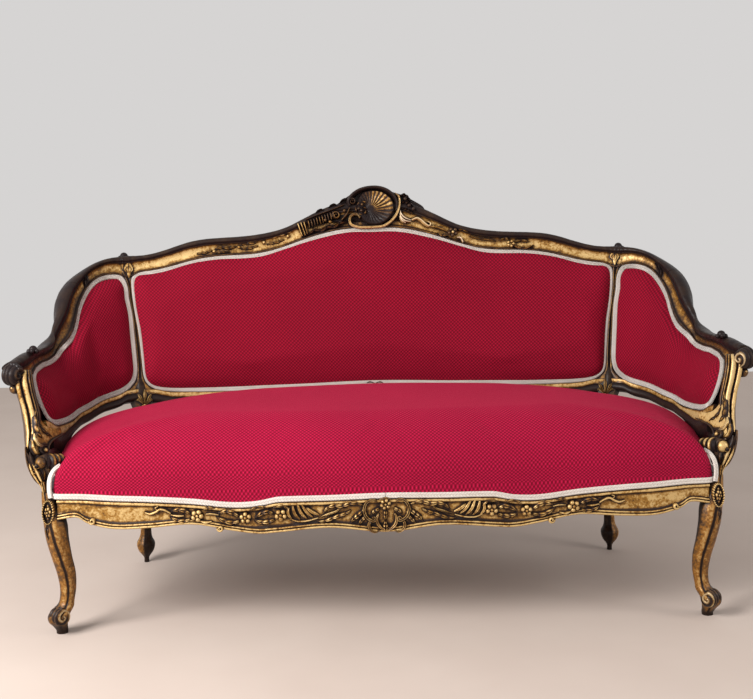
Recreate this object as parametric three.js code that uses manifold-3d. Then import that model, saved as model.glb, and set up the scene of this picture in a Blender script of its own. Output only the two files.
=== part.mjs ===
import * as THREE from "three";
import { mergeVertices } from "three/addons/utils/BufferGeometryUtils.js";
import Module from "manifold-3d";

// A giltwood cabriole sofa with upholstered seat, back and sides.
// X runs from side to side, Y from front to back, Z up, in millimetres.
// The origin is on the floor, under the middle of the sofa.

const wasm = await Module();
wasm.setup();

// Driving sizes
const halfWidth = 900;
const frameDepth = 800;
const backHeight = 1000;
const fitGap = 0.3;
const cutGap = 0.45;
const mergeDistance = 0.001;

// Back and arm frame
const ledgeWidth = 14;
const faceRise = 11;
const rollRise = 15;
const coveFloor = 7;
const railBack = 24;
const rearRebateDepth = 3;
const lowerRailHeight = 38;
const lowerRailRise = 10;
const postRibRise = 14;
const armSupportWidth = 42;
const scrollRadius = 38;
const scrollThickness = 44;
const shellThickness = 36;
const shellFace = 25;

// Seat frame
const seatRailTop = 0.346 * backHeight;
const seatRailThickness = 34;
const apronThickness = 18;
const seatRailInnerBottom = 0.284 * backHeight;
const beadRise = 3;
const beadHeight = 9;
const coverRebate = 5;
const braceWidth = 45;
const braceThickness = 22;
const blockReach = 70;
const blockThickness = 34;
const blockHeight = 36;

// Legs
const legHalfSize = 23;
const legTopShare = 0.3465;
const scrollShares = [0.9661, -0.2588, 0.609];
const scrollTurn = Math.PI / 10;

// Upholstery
const fabricThickness = 1.2;
const webThickness = 1.4;
const webLap = 7;
const gimpWidth = 12;
const gimpThickness = 3;
const backCrown = 30;
const sideCrown = 24;
const backCrownReach = 140;
const sideCrownReach = 70;
const crownPower = 2.5;
const seatCrown = 0.149 * backHeight;
const domeFrontPower = 7.6;
const domeSidePower = 4.6;
const domeRoundness = 0.5;
const domeBearingPower = 0.62;
const seatCentreShare = -0.06;
const stuffingShares = { spring: 0.78, rail: 0.87 };
const edgeMargin = 1.8;

// Springs
const springRadius = 42;
const springWaist = 28;
const springWire = 3.6;
const springTurns = 2;
const springSteps = 6;
const springTop = 0.418 * backHeight;
const springPitch = 190;
const springColumns = 6;
const springRows = 2;
const strapWidth = 50;
const strapPitch = 150;
const strapColumns = 8;
const strapRows = 2;

// Joinery
const dowelRadius = 5;
const dowelLength = 46;
const tenonThickness = 10;
const tenonWidth = 24;
const tenonLength = 16;
const jointStepShare = 0.1;
const pinSides = 8;
const scrollSides = 16;

// Guide curves of the back, centre to arm front, as shares of half width, depth and height
const lowerGuideShares = [
  [0, 0.375, 0.475],
  [0.244, 0.37, 0.47],
  [0.489, 0.3475, 0.462],
  [0.708, 0.301, 0.458],
  [0.817, 0.2125, 0.458],
  [0.867, 0.0875, 0.458],
  [0.883, -0.0375, 0.455],
  [0.886, -0.15, 0.45],
  [0.883, -0.25, 0.44],
  [0.878, -0.3375, 0.42],
];
const upperGuideShares = [
  [0, 0.525, 0.952],
  [0.278, 0.519, 0.885],
  [0.533, 0.4975, 0.858],
  [0.756, 0.4575, 0.82],
  [0.872, 0.369, 0.808],
  [0.936, 0.219, 0.735],
  [0.953, 0.125, 0.64],
  [0.958, -0.0375, 0.62],
  [0.961, -0.1625, 0.62],
  [0.983, -0.25, 0.61],
];

// Crest stations: inner edge and top edge, each as guide position and height share
const crestShares = [
  [0, 0.904, 0, 1.048],
  [0.248, 0.936, 0.244, 1.076],
  [0.462, 0.953, 0.47, 1.094],
  [0.73, 0.964, 0.747, 1.081],
  [0.965, 0.948, 0.993, 1.055],
  [1.22, 0.927, 1.224, 1.048],
  [1.456, 0.922, 1.458, 1.046],
  [1.784, 0.93, 1.763, 1.054],
  [2.138, 0.931, 2.126, 1.067],
  [2.432, 0.916, 2.416, 1.045],
  [2.677, 0.917, 2.676, 1.038],
  [2.866, 0.926, 2.87, 1.05],
  [2.988, 0.903, 2.99, 1.062],
];
const crestOverPostShares = [
  [3.08, 0.905, 3.1, 1.066],
  [3.155, 0.912, 3.19, 1.068],
];
const shoulderShares = [
  [3.169, 0.916, 3.217, 1.068],
  [3.331, 0.939, 3.441, 1.068],
  [3.676, 0.935, 3.772, 1.057],
  [4, 0.908, 4.158, 1.046],
  [4.267, 0.855, 4.63, 1.064],
];
const armShares = [
  [4.471, 0.786, 4.932, 1.046],
  [4.591, 0.697, 5.242, 0.988],
  [4.759, 0.653, 5.666, 1.012],
  [5.135, 0.643, 6.143, 1.098],
  [6.058, 0.84, 6.408, 1.094],
  [6.6, 0.885, 6.731, 1.109],
  [7.029, 0.925, 7.192, 1.138],
  [7.4, 0.92, 7.45, 1.146],
  [7.705, 0.914, 7.85, 1.15],
  [8.094, 0.85, 8.35, 1.145],
];

// Panel edges as guide position and height share
const backFootShares = [
  [0, 0],
  [0.909, -0.001],
  [1.582, 0.009],
  [2.067, 0.021],
  [2.57, 0.039],
  [2.811, 0.067],
  [2.935, 0.115],
];
const backSideShares = [
  [2.935, 0.115],
  [2.978, 0.171],
  [2.976, 0.295],
  [2.979, 0.494],
  [3.015, 0.669],
  [3.017, 0.846],
  [2.988, 0.903],
];
const sideFootShares = [
  [3.163, 0.129],
  [3.369, 0.078],
  [3.588, 0.055],
  [4.065, 0.039],
  [4.616, 0.012],
  [5.118, 0.005],
  [5.984, -0.011],
  [7.339, 0.114],
  [7.985, 0.255],
];
const sideRearShares = [
  [3.163, 0.129],
  [3.092, 0.209],
  [3.078, 0.292],
  [3.072, 0.478],
  [3.066, 0.638],
  [3.103, 0.747],
  [3.091, 0.833],
  [3.169, 0.916],
];
const sideFrontShares = [
  [7.985, 0.255],
  [8.221, 0.439],
  [8.259, 0.638],
  [8.094, 0.85],
];
const armFrontShares = [[8.5, 0.88, 8.78, 1.13]];
const uprightSteps = 5;
const guideSpans = lowerGuideShares.length - 1;
const curveTension = 0.5;
const leastMitreShare = 0.5;

// Sets a point from shares of the three driving sizes.
function placed([xShare, yShare, zShare]) {
  return new THREE.Vector3(xShare * halfWidth, yShare * frameDepth, zShare * backHeight);
}

// A guide curve through its points, mirrored across the centre so that it runs smoothly there.
function guideCurve(shares) {
  const half = shares.map(placed);
  const other = half
    .slice(1)
    .reverse()
    .map((point) => new THREE.Vector3(-point.x, point.y, point.z));
  return new THREE.CatmullRomCurve3([...other, ...half], false, "catmullrom", curveTension);
}
const lowerGuide = guideCurve(lowerGuideShares);
const upperGuide = guideCurve(upperGuideShares);

// Point of the back surface at guide position u, negative on the other side, and height share h.
function surfacePoint(u, h) {
  const t = (u + guideSpans) / (2 * guideSpans);
  const low = lowerGuide.getPoint(THREE.MathUtils.clamp(t, 0, 1));
  const high = upperGuide.getPoint(THREE.MathUtils.clamp(t, 0, 1));
  return low.lerp(high, h);
}

// Unit normal of the back surface, towards the sitter.
function surfaceNormal(u, h) {
  const stepShare = 0.02;
  const uSafe = THREE.MathUtils.clamp(u, stepShare - guideSpans, guideSpans - stepShare);
  const along = surfacePoint(uSafe + stepShare, h).sub(surfacePoint(uSafe - stepShare, h));
  const up = surfacePoint(uSafe, h + stepShare).sub(surfacePoint(uSafe, h - stepShare));
  return along.cross(up).normalize();
}

// Point off the back surface by a distance towards the sitter.
function offSurface([u, h], distance) {
  return surfacePoint(u, h).addScaledVector(surfaceNormal(u, h), distance);
}

// Even samples of a smooth line through rows of shares.
function sampledShares(rows, steps) {
  const curve = new THREE.CatmullRomCurve3(
    rows.map(([a, b]) => new THREE.Vector3(a, b, 0)),
    false,
    "catmullrom",
    curveTension,
  );
  return Array.from({ length: steps + 1 }, (_, i) => {
    const point = curve.getPoint(i / steps);
    return [point.x, point.y];
  });
}

// Mirrors rows whose first value is a guide position, from the far side to the near side.
function mirroredRows(rows) {
  const other = rows
    .slice(1)
    .reverse()
    .map(([u, h]) => [-u, h]);
  return [...other, ...rows];
}

// A panel patch: four edges of guide positions and height shares, filled by a blended grid.
function makePanel(foot, head, left, right) {
  const columns = foot.length - 1;
  const rows = left.length - 1;
  const edgeAt = (edge, share) => {
    const at = THREE.MathUtils.clamp(share, 0, 1) * (edge.length - 1);
    const i = Math.min(Math.floor(at), edge.length - 2);
    return [0, 1].map((k) => THREE.MathUtils.lerp(edge[i][k], edge[i + 1][k], at - i));
  };
  const at = (s, t) => {
    const [f, g, l, r] = [edgeAt(foot, s), edgeAt(head, s), edgeAt(left, t), edgeAt(right, t)];
    return [0, 1].map((k) => {
      const ruled = (1 - t) * f[k] + t * g[k] + (1 - s) * l[k] + s * r[k];
      const low = (1 - s) * foot[0][k] + s * foot[columns][k];
      const high = (1 - s) * head[0][k] + s * head[columns][k];
      return ruled - (1 - t) * low - t * high;
    });
  };
  return { columns, rows, at };
}

// Distance between the two edges of a panel, up it or across it, at a share the other way.
function panelSpan(panel, across, vertical) {
  const low = vertical ? panel.at(across, 0) : panel.at(0, across);
  const high = vertical ? panel.at(across, 1) : panel.at(1, across);
  return surfacePoint(...low).distanceTo(surfacePoint(...high));
}

// Share along one direction of a panel after both ends draw in by a distance.
function drawnIn(panel, share, across, distance, vertical) {
  const inset = distance / panelSpan(panel, across, vertical);
  return THREE.MathUtils.lerp(inset, 1 - inset, share);
}

// Closed surface through rings of equal length, capped at both ends.
function loft(rings, outline, turnedSpans = 0) {
  const count = rings[0].length;
  const position = rings.flat().flatMap((point) => [point.x, point.y, point.z]);
  const index = [];
  for (let i = 0; i + 1 < rings.length; i += 1) {
    for (let k = 0; k < count; k += 1) {
      const a = i * count + k;
      const b = i * count + ((k + 1) % count);
      if (i < turnedSpans) {
        index.push(a, b, a + count, b, b + count, a + count);
      } else {
        index.push(a, b, b + count, a, b + count, a + count);
      }
    }
  }
  const turn = Math.sign(THREE.ShapeUtils.area(outline));
  const last = (rings.length - 1) * count;
  THREE.ShapeUtils.triangulateShape(outline, []).forEach(([a, second, third]) => {
    const same = Math.sign(THREE.ShapeUtils.area([outline[a], outline[second], outline[third]])) === turn;
    const [b, c] = same ? [second, third] : [third, second];
    index.push(a, c, b);
    index.push(last + a, last + b, last + c);
  });
  return geometryFrom(position, index);
}

// Indexed geometry from flat lists.
function geometryFrom(position, index) {
  const geometry = new THREE.BufferGeometry();
  geometry.setAttribute("position", new THREE.Float32BufferAttribute(position, 3));
  geometry.setIndex(index);
  return geometry;
}

// Turns a closed geometry into a solid that can be joined and cut, facing outwards.
function solidOf(geometry) {
  const plain = geometry.index ? geometry.toNonIndexed() : geometry.clone();
  plain.deleteAttribute("normal");
  plain.deleteAttribute("uv");
  const merged = mergeVertices(plain, mergeDistance);
  const make = (triVerts) => {
    const vertProperties = merged.attributes.position.array;
    return new wasm.Manifold(new wasm.Mesh({ numProp: 3, vertProperties, triVerts }));
  };
  const triVerts = new Uint32Array(merged.index.array);
  const made = make(triVerts);
  if (made.volume() > 0) {
    return made;
  }
  for (let i = 0; i < triVerts.length; i += 3) {
    [triVerts[i + 1], triVerts[i + 2]] = [triVerts[i + 2], triVerts[i + 1]];
  }
  return make(triVerts);
}

// Geometry of a solid.
function geometryOf(solid) {
  const mesh = solid.getMesh();
  return geometryFrom(Array.from(mesh.vertProperties), Array.from(mesh.triVerts));
}

// The other hand of a solid.
function otherHand(solid) {
  return solid.mirror([1, 0, 0]);
}

// Widest body of a cut solid, without the slivers that a cut can leave.
function mainBody(solid) {
  const bodies = solid.decompose();
  return bodies.reduce((best, body) => (body.volume() > best.volume() ? body : best));
}

// Outline moved outwards by a distance, with mitred corners.
function grownOutline(outline, distance) {
  const turn = THREE.ShapeUtils.area(outline) > 0 ? 1 : -1;
  return outline.map((point, i) => {
    const before = outline[(i + outline.length - 1) % outline.length];
    const after = outline[(i + 1) % outline.length];
    const n1 = new THREE.Vector2(point.y - before.y, before.x - point.x).normalize();
    const n2 = new THREE.Vector2(after.y - point.y, point.x - after.x).normalize();
    const mitre = n1.clone().add(n2).divideScalar(Math.max(1 + n1.dot(n2), leastMitreShare));
    return point.clone().addScaledVector(mitre, turn * distance);
  });
}

// Index of the span of a rising list that holds a value, or the nearest span.
function spanOf(list, value) {
  const next = list.findIndex((entry) => entry > value);
  return next < 0 ? list.length - 2 : Math.max(next - 1, 0);
}

// Frame member over stations. A station lists places across the section with their surface points.
function member(stations, outline, grow = 0) {
  let firstFlat;
  const rings = stations.map((station) => {
    const places = station.map(([place]) => place);
    const points = station.map(([, row]) => surfacePoint(...row));
    const normals = station.map(([, row]) => surfaceNormal(...row));
    const run = [0];
    points.slice(1).forEach((point, i) => run.push(run[i] + point.distanceTo(points[i])));
    const flat = outline.map(([place, rise]) => {
      const i = spanOf(places, place);
      const share = (place - places[i]) / (places[i + 1] - places[i]);
      return new THREE.Vector2(THREE.MathUtils.lerp(run[i], run[i + 1], share), rise);
    });
    const used = grow > 0 ? grownOutline(flat, grow) : flat;
    firstFlat = firstFlat || used;
    return used.map((corner) => {
      const i = spanOf(run, corner.x);
      const share = (corner.x - run[i]) / (run[i + 1] - run[i]);
      const normal = normals[i].clone().lerp(normals[i + 1], share).normalize();
      return points[i].clone().lerp(points[i + 1], share).addScaledVector(normal, corner.y);
    });
  });
  return solidOf(loft(grow > 0 ? lengthened(rings, grow) : rings, firstFlat));
}

// Rings with both end rings moved outwards along the member.
function lengthened(rings, distance) {
  const moved = (ring, next) =>
    ring.map((point, k) => point.clone().add(point.clone().sub(next[k]).setLength(distance)));
  const last = rings.length - 1;
  return [moved(rings[0], rings[1]), ...rings.slice(1, -1), moved(rings[last], rings[last - 1])];
}

// Panels
const crestRows = [...crestShares, ...crestOverPostShares, shoulderShares[0]];
const topEdge = (rows) => rows.map((row) => row.slice(0, 2));
const backColumns = crestShares.length - 1;
const backPanel = makePanel(
  mirroredRows(sampledShares(backFootShares, backColumns)),
  mirroredRows(topEdge(crestShares)),
  sampledShares(backSideShares, uprightSteps).map(([u, h]) => [-u, h]),
  sampledShares(backSideShares, uprightSteps),
);
const sideTop = topEdge([...shoulderShares, ...armShares]);
const sidePanel = makePanel(
  sampledShares(sideFootShares, sideTop.length - 1),
  sideTop,
  sampledShares(sideRearShares, uprightSteps),
  sampledShares(sideFrontShares, uprightSteps),
);

// Height share that a distance up the back makes at a guide position.
function heightShare(u, distance) {
  return distance / surfacePoint(u, 0).distanceTo(surfacePoint(u, 1));
}

// Places across a frame section, as shares of its width from the panel outwards
const crestPlaceShares = { cove: 0.36, fillet: 0.66, roll: 0.72, crown: 0.9, back: 0.88, rebate: 0.2 };
const lowerPlaceShares = { hollow: 0.5, lip: 0.8, rebate: 0.3 };
const postPlaceShares = { rib: 0.5 };
const supportPlaceShares = { bead: 0.3, cove: 0.5, lip: 0.7, back: 0.8, rebate: 0.2 };
const roundedShares = { edge: 0.6, hollow: 0.7, foot: 0.5 };
const rebateFloor = rearRebateDepth - railBack;

// Outline of the crest and arm rails: place across, from ledge to top, and rise off the surface.
const crestOutline = [
  [-1, 0],
  [0, 0],
  [0, faceRise],
  [crestPlaceShares.cove, coveFloor],
  [crestPlaceShares.fillet, faceRise],
  [crestPlaceShares.roll, rollRise],
  [crestPlaceShares.crown, rollRise],
  [1, faceRise * roundedShares.edge],
  [1, -railBack * roundedShares.edge],
  [crestPlaceShares.back, -railBack],
  [crestPlaceShares.rebate, -railBack],
  [crestPlaceShares.rebate, rebateFloor],
  [0, rebateFloor],
  [-1, rebateFloor],
];

// Stations of a crest or arm length: ledge, inner edge and top.
function crestStations(rows, panel, first, span) {
  return rows.map((row, i) => {
    const column = (first + i) / span;
    const inner = [row[0], row[1]];
    const ledge = panel
      ? panel.at(column, drawnIn(panel, 1, column, ledgeWidth, true))
      : [row[0], row[1] - heightShare(row[0], ledgeWidth)];
    return [
      [-1, ledge],
      [0, inner],
      [1, [row[2], row[3]]],
    ];
  });
}

// Rows part way between two crest stations, for the faces that meet at a joint.
function between(rowA, rowB, share) {
  return rowA.map((value, i) => THREE.MathUtils.lerp(value, rowB[i], share));
}

// Share of the way between two stations that a distance makes.
function gapShare(rowA, rowB, distance) {
  const a = surfacePoint(rowA[2], rowA[3]);
  const b = surfacePoint(rowB[2], rowB[3]);
  return distance / a.distanceTo(b);
}

const crestHalfStations = crestStations(crestShares, backPanel, backColumns, 2 * backColumns);
const crestEndStations = crestStations(crestOverPostShares);
const crestRight = [...crestHalfStations, ...crestEndStations];
const flipStation = (station) => station.map(([place, [u, h]]) => [place, [-u, h]]);
const crestAll = [...crestRight.slice(1).reverse().map(flipStation), ...crestRight];

const sideColumns = sideTop.length - 1;
const shoulderStart = crestOverPostShares[1];
const shoulderFirst = between(
  shoulderStart,
  shoulderShares[0],
  gapShare(shoulderStart, shoulderShares[0], fitGap * 1.5),
);
const shoulderStations = [
  ...crestStations([shoulderFirst]),
  ...crestStations(shoulderShares, sidePanel, 0, sideColumns),
];
const shoulderEnd = shoulderShares[shoulderShares.length - 1];
const armStartShare = gapShare(shoulderEnd, armShares[0], fitGap * 1.5);
const armStations = [
  ...crestStations(
    [between(shoulderEnd, armShares[0], armStartShare)],
    sidePanel,
    shoulderShares.length - 1 + armStartShare,
    sideColumns,
  ),
  ...crestStations(armShares, sidePanel, shoulderShares.length, sideColumns),
  ...crestStations(armFrontShares),
];

// Lower rails: ledge above, foot below.
const lowerOutline = [
  [-1, 0],
  [0, 0],
  [0, lowerRailRise],
  [lowerPlaceShares.hollow, lowerRailRise * roundedShares.hollow],
  [lowerPlaceShares.lip, lowerRailRise],
  [1, lowerRailRise * roundedShares.foot],
  [1, -railBack * roundedShares.hollow],
  [lowerPlaceShares.lip, -railBack],
  [lowerPlaceShares.rebate, -railBack],
  [lowerPlaceShares.rebate, rebateFloor],
  [0, rebateFloor],
  [-1, rebateFloor],
];

// Stations of a lower rail: ledge, panel edge and foot.
function lowerStations(panel) {
  return Array.from({ length: panel.columns + 1 }, (_, i) => {
    const column = i / panel.columns;
    const edge = panel.at(column, 0);
    return [
      [-1, panel.at(column, drawnIn(panel, 0, column, ledgeWidth, true))],
      [0, edge],
      [1, [edge[0], edge[1] - heightShare(edge[0], lowerRailHeight)]],
    ];
  });
}

// Back post above the seat: a rib between the two panels with a ledge on each side.
const postOutline = [
  [-1, 0],
  [0, 0],
  [0, faceRise],
  [postPlaceShares.rib, postRibRise],
  [1, faceRise],
  [1, 0],
  [2, 0],
  [2, rebateFloor],
  [1, rebateFloor],
  [1, -railBack],
  [0, -railBack],
  [0, rebateFloor],
  [-1, rebateFloor],
];
const postStations = Array.from({ length: uprightSteps + 1 }, (_, j) => {
  const t = j / uprightSteps;
  return [
    [-1, backPanel.at(drawnIn(backPanel, 1, t, ledgeWidth, false), t)],
    [0, backPanel.at(1, t)],
    [1, sidePanel.at(0, t)],
    [2, sidePanel.at(drawnIn(sidePanel, 0, t, ledgeWidth, false), t)],
  ];
});

// Arm support above its knuckle: a ledge for the side panel and a moulded front.
const supportOutline = [
  [-1, 0],
  [0, 0],
  [0, faceRise],
  [supportPlaceShares.bead, faceRise],
  [supportPlaceShares.cove, coveFloor],
  [supportPlaceShares.lip, faceRise],
  [1, faceRise * roundedShares.edge],
  [1, -railBack * roundedShares.edge],
  [supportPlaceShares.back, -railBack],
  [supportPlaceShares.rebate, -railBack],
  [supportPlaceShares.rebate, rebateFloor],
  [0, rebateFloor],
  [-1, rebateFloor],
];

// Guide positions that a distance makes forwards of a point.
function forwardShare(row, distance) {
  const step = 2 * jointStepShare;
  const from = surfacePoint(row[0] - step, row[1]);
  const to = surfacePoint(row[0], row[1]);
  return (distance * step) / from.distanceTo(to);
}
const supportStations = Array.from({ length: uprightSteps + 1 }, (_, j) => {
  const t = j / uprightSteps;
  const edge = sidePanel.at(1, t);
  return [
    [-1, sidePanel.at(drawnIn(sidePanel, 1, t, ledgeWidth, false), t)],
    [0, edge],
    [1, [edge[0] + forwardShare(edge, armSupportWidth), edge[1]]],
  ];
});

// Post through rings given as shares: centre x, y and z, then half sizes as shares of one half size.
function turnedPost(rows, halfSize, sides, turn) {
  const outline = Array.from({ length: sides }, (_, k) => {
    const angle = ((k + 0.5) / sides) * 2 * Math.PI;
    return new THREE.Vector2(Math.cos(angle), Math.sin(angle));
  });
  const rings = rows.map(([xShare, yShare, zShare, wideShare, deepShare]) => {
    const centre = placed([xShare, yShare, zShare]);
    return outline.map((corner) => {
      const turned = new THREE.Vector2(corner.x * wideShare, corner.y * deepShare)
        .multiplyScalar(halfSize)
        .rotateAround(new THREE.Vector2(), turn);
      return new THREE.Vector3(centre.x + turned.x, centre.y + turned.y, centre.z);
    });
  });
  return solidOf(loft(rings, outline));
}

// Block between two points, with its width along a side direction.
function bar(from, to, width, thickness, side) {
  const along = to.clone().sub(from);
  const length = along.length();
  along.normalize();
  const third = new THREE.Vector3().crossVectors(along, side).normalize();
  const second = new THREE.Vector3().crossVectors(third, along).normalize();
  const geometry = new THREE.BoxGeometry(length, width, thickness);
  const basis = new THREE.Matrix4().makeBasis(along, second, third);
  basis.setPosition(from.clone().lerp(to, 0.5));
  return solidOf(geometry.applyMatrix4(basis));
}

// Round pin between two points.
function pin(from, to, radius, sides) {
  const length = from.distanceTo(to);
  const geometry = new THREE.CylinderGeometry(radius, radius, length, sides);
  const turn = new THREE.Quaternion().setFromUnitVectors(
    new THREE.Vector3(0, 1, 0),
    to.clone().sub(from).normalize(),
  );
  geometry.applyQuaternion(turn);
  const middle = from.clone().lerp(to, 0.5);
  return solidOf(geometry.translate(middle.x, middle.y, middle.z));
}

// A dowel across a joint, and the hole that takes it.
function dowelAt(centre, direction) {
  const reach = direction.clone().normalize().multiplyScalar(dowelLength / 2);
  const hole = direction.clone().normalize().multiplyScalar(dowelLength / 2 + fitGap);
  return {
    peg: pin(centre.clone().sub(reach), centre.clone().add(reach), dowelRadius, pinSides),
    hole: pin(centre.clone().sub(hole), centre.clone().add(hole), dowelRadius + cutGap, pinSides),
  };
}

// A tenon across a joint, and the mortise that takes it.
function tenonAt(root, direction, side) {
  const unit = direction.clone().normalize();
  const back = root.clone().addScaledVector(unit, -tenonLength);
  const tip = root.clone().addScaledVector(unit, tenonLength);
  const deep = root.clone().addScaledVector(unit, tenonLength + fitGap);
  return {
    tongue: bar(back, tip, tenonWidth, tenonThickness, side),
    mortise: bar(back, deep, tenonWidth + 2 * fitGap, tenonThickness + 2 * fitGap, side),
  };
}

// Grid lines of a panel: each is a share across it and a distance drawn in from the nearer edge.
function gridLines(lipInset, shares) {
  const low = [edgeMargin, edgeMargin + gimpWidth, lipInset].map((inset) => [0, inset]);
  const high = low.map(([, inset]) => [1, inset]).reverse();
  return [...low, ...shares.map((share) => [share, 0]), ...high];
}

// Share along a panel of one grid line, measured at a share across it.
function lineShare(panel, [share, inset], across, vertical) {
  return share + (share < 0.5 ? inset : -inset) / panelSpan(panel, across, vertical);
}

// Guide position and height share where two grid lines cross.
function crossing(panel, columnLine, rowLine) {
  const s = lineShare(panel, columnLine, rowLine[0], false);
  const t = lineShare(panel, rowLine, columnLine[0], true);
  return panel.at(s, t);
}

// Closed sheet or pad between two height functions over a grid of panel points.
function gridSolid(columns, rows, topPoint, bottomPoint) {
  const position = [];
  const index = [];
  const add = (point) => position.push(point.x, point.y, point.z);
  const across = columns.length;
  const up = rows.length;
  rows.forEach((row) => columns.forEach((column) => add(topPoint(column, row))));
  rows.forEach((row) => columns.forEach((column) => add(bottomPoint(column, row))));
  const below = across * up;
  for (let j = 0; j + 1 < up; j += 1) {
    for (let i = 0; i + 1 < across; i += 1) {
      const a = j * across + i;
      index.push(a, a + 1, a + across + 1, a, a + across + 1, a + across);
      const b = below + a;
      index.push(b, b + across + 1, b + 1, b, b + across, b + across + 1);
    }
  }
  const wall = (a, b) => index.push(a, below + b, b, a, below + a, below + b);
  for (let i = 0; i + 1 < across; i += 1) {
    wall(i, i + 1);
    wall(below - i - 1, below - i - 2);
  }
  for (let j = 0; j + 1 < up; j += 1) {
    wall((up - 1 - j) * across, (up - 2 - j) * across);
    wall(j * across + across - 1, (j + 1) * across + across - 1);
  }
  return solidOf(geometryFrom(position, index));
}

// Rise of an upholstered panel above its fabric edge, from the distances to the nearest edges.
function crownRise(panel, columnLine, rowLine, crown, reach) {
  const s = lineShare(panel, columnLine, rowLine[0], false);
  const t = lineShare(panel, rowLine, columnLine[0], true);
  const toEdge = (share, span) =>
    Math.max(Math.min(share, 1 - share) * span - edgeMargin - gimpWidth, 0);
  const soft = (distance) => 1 - (1 - Math.min(distance / reach, 1)) ** crownPower;
  const sideways = soft(toEdge(s, panelSpan(panel, t, false)));
  const upwards = soft(toEdge(t, panelSpan(panel, s, true)));
  return crown * sideways * upwards;
}

// Layers of a panel, off the back surface
const webFloor = fitGap * 1.5;
const webFace = webFloor + webThickness;
const coverFloor = webFace + 2 * fitGap;
const coverFace = coverFloor + fabricThickness;
const gimpFloor = coverFace + 2 * fitGap;
const lipInset = edgeMargin + gimpWidth + webLap;
const outerCoverFace = rebateFloor - 3 * fitGap;

// Webbing, padding, cover, outer cover and gimp of one panel.
function upholster(panel, crown, reach) {
  const columnShares = Array.from({ length: panel.columns - 1 }, (_, i) => (i + 1) / panel.columns);
  const rowShares = Array.from({ length: panel.rows - 1 }, (_, i) => (i + 1) / panel.rows);
  const columns = gridLines(lipInset, columnShares);
  const rows = gridLines(lipInset, rowShares);
  const inner = (lines) => lines.slice(2, -2);
  const rise = (column, row) => crownRise(panel, column, row, crown, reach);
  const at = (column, row, off) => offSurface(crossing(panel, column, row), off);
  const cover = gridSolid(
    columns,
    rows,
    (column, row) => at(column, row, coverFace + rise(column, row)),
    (column, row) => at(column, row, coverFloor + rise(column, row)),
  );
  const padding = gridSolid(
    inner(columns),
    inner(rows),
    (column, row) => at(column, row, coverFloor - fitGap + rise(column, row)),
    (column, row) => at(column, row, webFace + 2 * fitGap),
  );
  const sheetLines = (edge, shares) => [
    [0, edge],
    [0, ledgeWidth],
    ...shares.map((share) => [share, 0]),
    [1, ledgeWidth],
    [1, edge],
  ];
  const middleShares = [0.5];
  const webEdge = edgeMargin + webLap;
  const webColumns = sheetLines(webEdge, columnShares);
  const webRows = sheetLines(webEdge, rowShares);
  const webbing = gridSolid(
    webColumns,
    webRows,
    (column, row) => at(column, row, webFace),
    (column, row) => at(column, row, webFloor),
  );
  const outerColumns = sheetLines(edgeMargin, columnShares);
  const outerRows = sheetLines(edgeMargin, middleShares);
  const outerCover = gridSolid(
    outerColumns,
    outerRows,
    (column, row) => at(column, row, outerCoverFace),
    (column, row) => at(column, row, outerCoverFace - fabricThickness),
  );
  const gimp = gimpLoop(panel, columnShares, rowShares);
  return { cover, padding, webbing, outerCover, gimp };
}

// Gimp: a flat braid round a panel, over the edge of its cover.
function gimpLoop(panel, columnShares, rowShares) {
  const loopAt = (inset, off) => {
    const lined = (shares) => [[0, lipInset], ...shares.map((share) => [share, 0]), [1, lipInset]];
    const sides = lined(columnShares);
    const ups = lined(rowShares);
    const [c0, c1] = [[0, inset], [1, inset]];
    const line = [
      ...[c0, ...sides, c1].map((column) => [column, c0]),
      ...ups.map((row) => [c1, row]),
      ...[c1, ...[...sides].reverse(), c0].map((column) => [column, c1]),
      ...[...ups].reverse().map((row) => [c0, row]),
    ];
    return line.map(([column, row]) => offSurface(crossing(panel, column, row), off));
  };
  const near = edgeMargin + fitGap;
  const far = edgeMargin + gimpWidth - fitGap;
  const top = gimpFloor + gimpThickness;
  const loops = [
    loopAt(near, gimpFloor),
    loopAt(near, top),
    loopAt(far, top),
    loopAt(far, gimpFloor),
  ];
  return solidOf(ringLoop(loops));
}

// Closed band through loops of equal length, each loop one corner of its section.
function ringLoop(loops) {
  const count = loops[0].length;
  const position = loops.flat().flatMap((point) => [point.x, point.y, point.z]);
  const index = [];
  loops.forEach((_, i) => {
    const next = (i + 1) % loops.length;
    for (let k = 0; k < count; k += 1) {
      const [a, b] = [i * count + k, i * count + ((k + 1) % count)];
      const [c, d] = [next * count + k, next * count + ((k + 1) % count)];
      index.push(a, b, d, a, d, c);
    }
  });
  return geometryFrom(position, index);
}

// Seat plan from front centre to back centre: x and y of the rail's face, fabric edge, rail bottom
const frontRailShares = [
  [0, -0.4813, 0.329, 0.25],
  [0.144, -0.4775, 0.326, 0.262],
  [0.278, -0.467, 0.323, 0.252],
  [0.333, -0.462, 0.313, 0.249],
  [0.4, -0.4565, 0.311, 0.257],
  [0.5, -0.4495, 0.32, 0.272],
  [0.61, -0.443, 0.326, 0.265],
  [0.7, -0.437, 0.329, 0.263],
  [0.767, -0.4285, 0.332, 0.275],
  [0.8, -0.424, 0.333, 0.29],
  [0.85, -0.4175, 0.333, 0.284],
  [0.88, -0.412, 0.333, 0.28],
];
const sideRailShares = [
  [0.895, -0.38, 0.331, 0.284],
  [0.897, -0.33, 0.331, 0.284],
  [0.901, -0.26, 0.331, 0.288],
  [0.903, -0.16, 0.331, 0.292],
  [0.901, -0.04, 0.331, 0.292],
  [0.887, 0.08, 0.331, 0.29],
  [0.855, 0.18, 0.331, 0.286],
  [0.805, 0.255, 0.331, 0.284],
  [0.735, 0.315, 0.331, 0.284],
];
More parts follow.
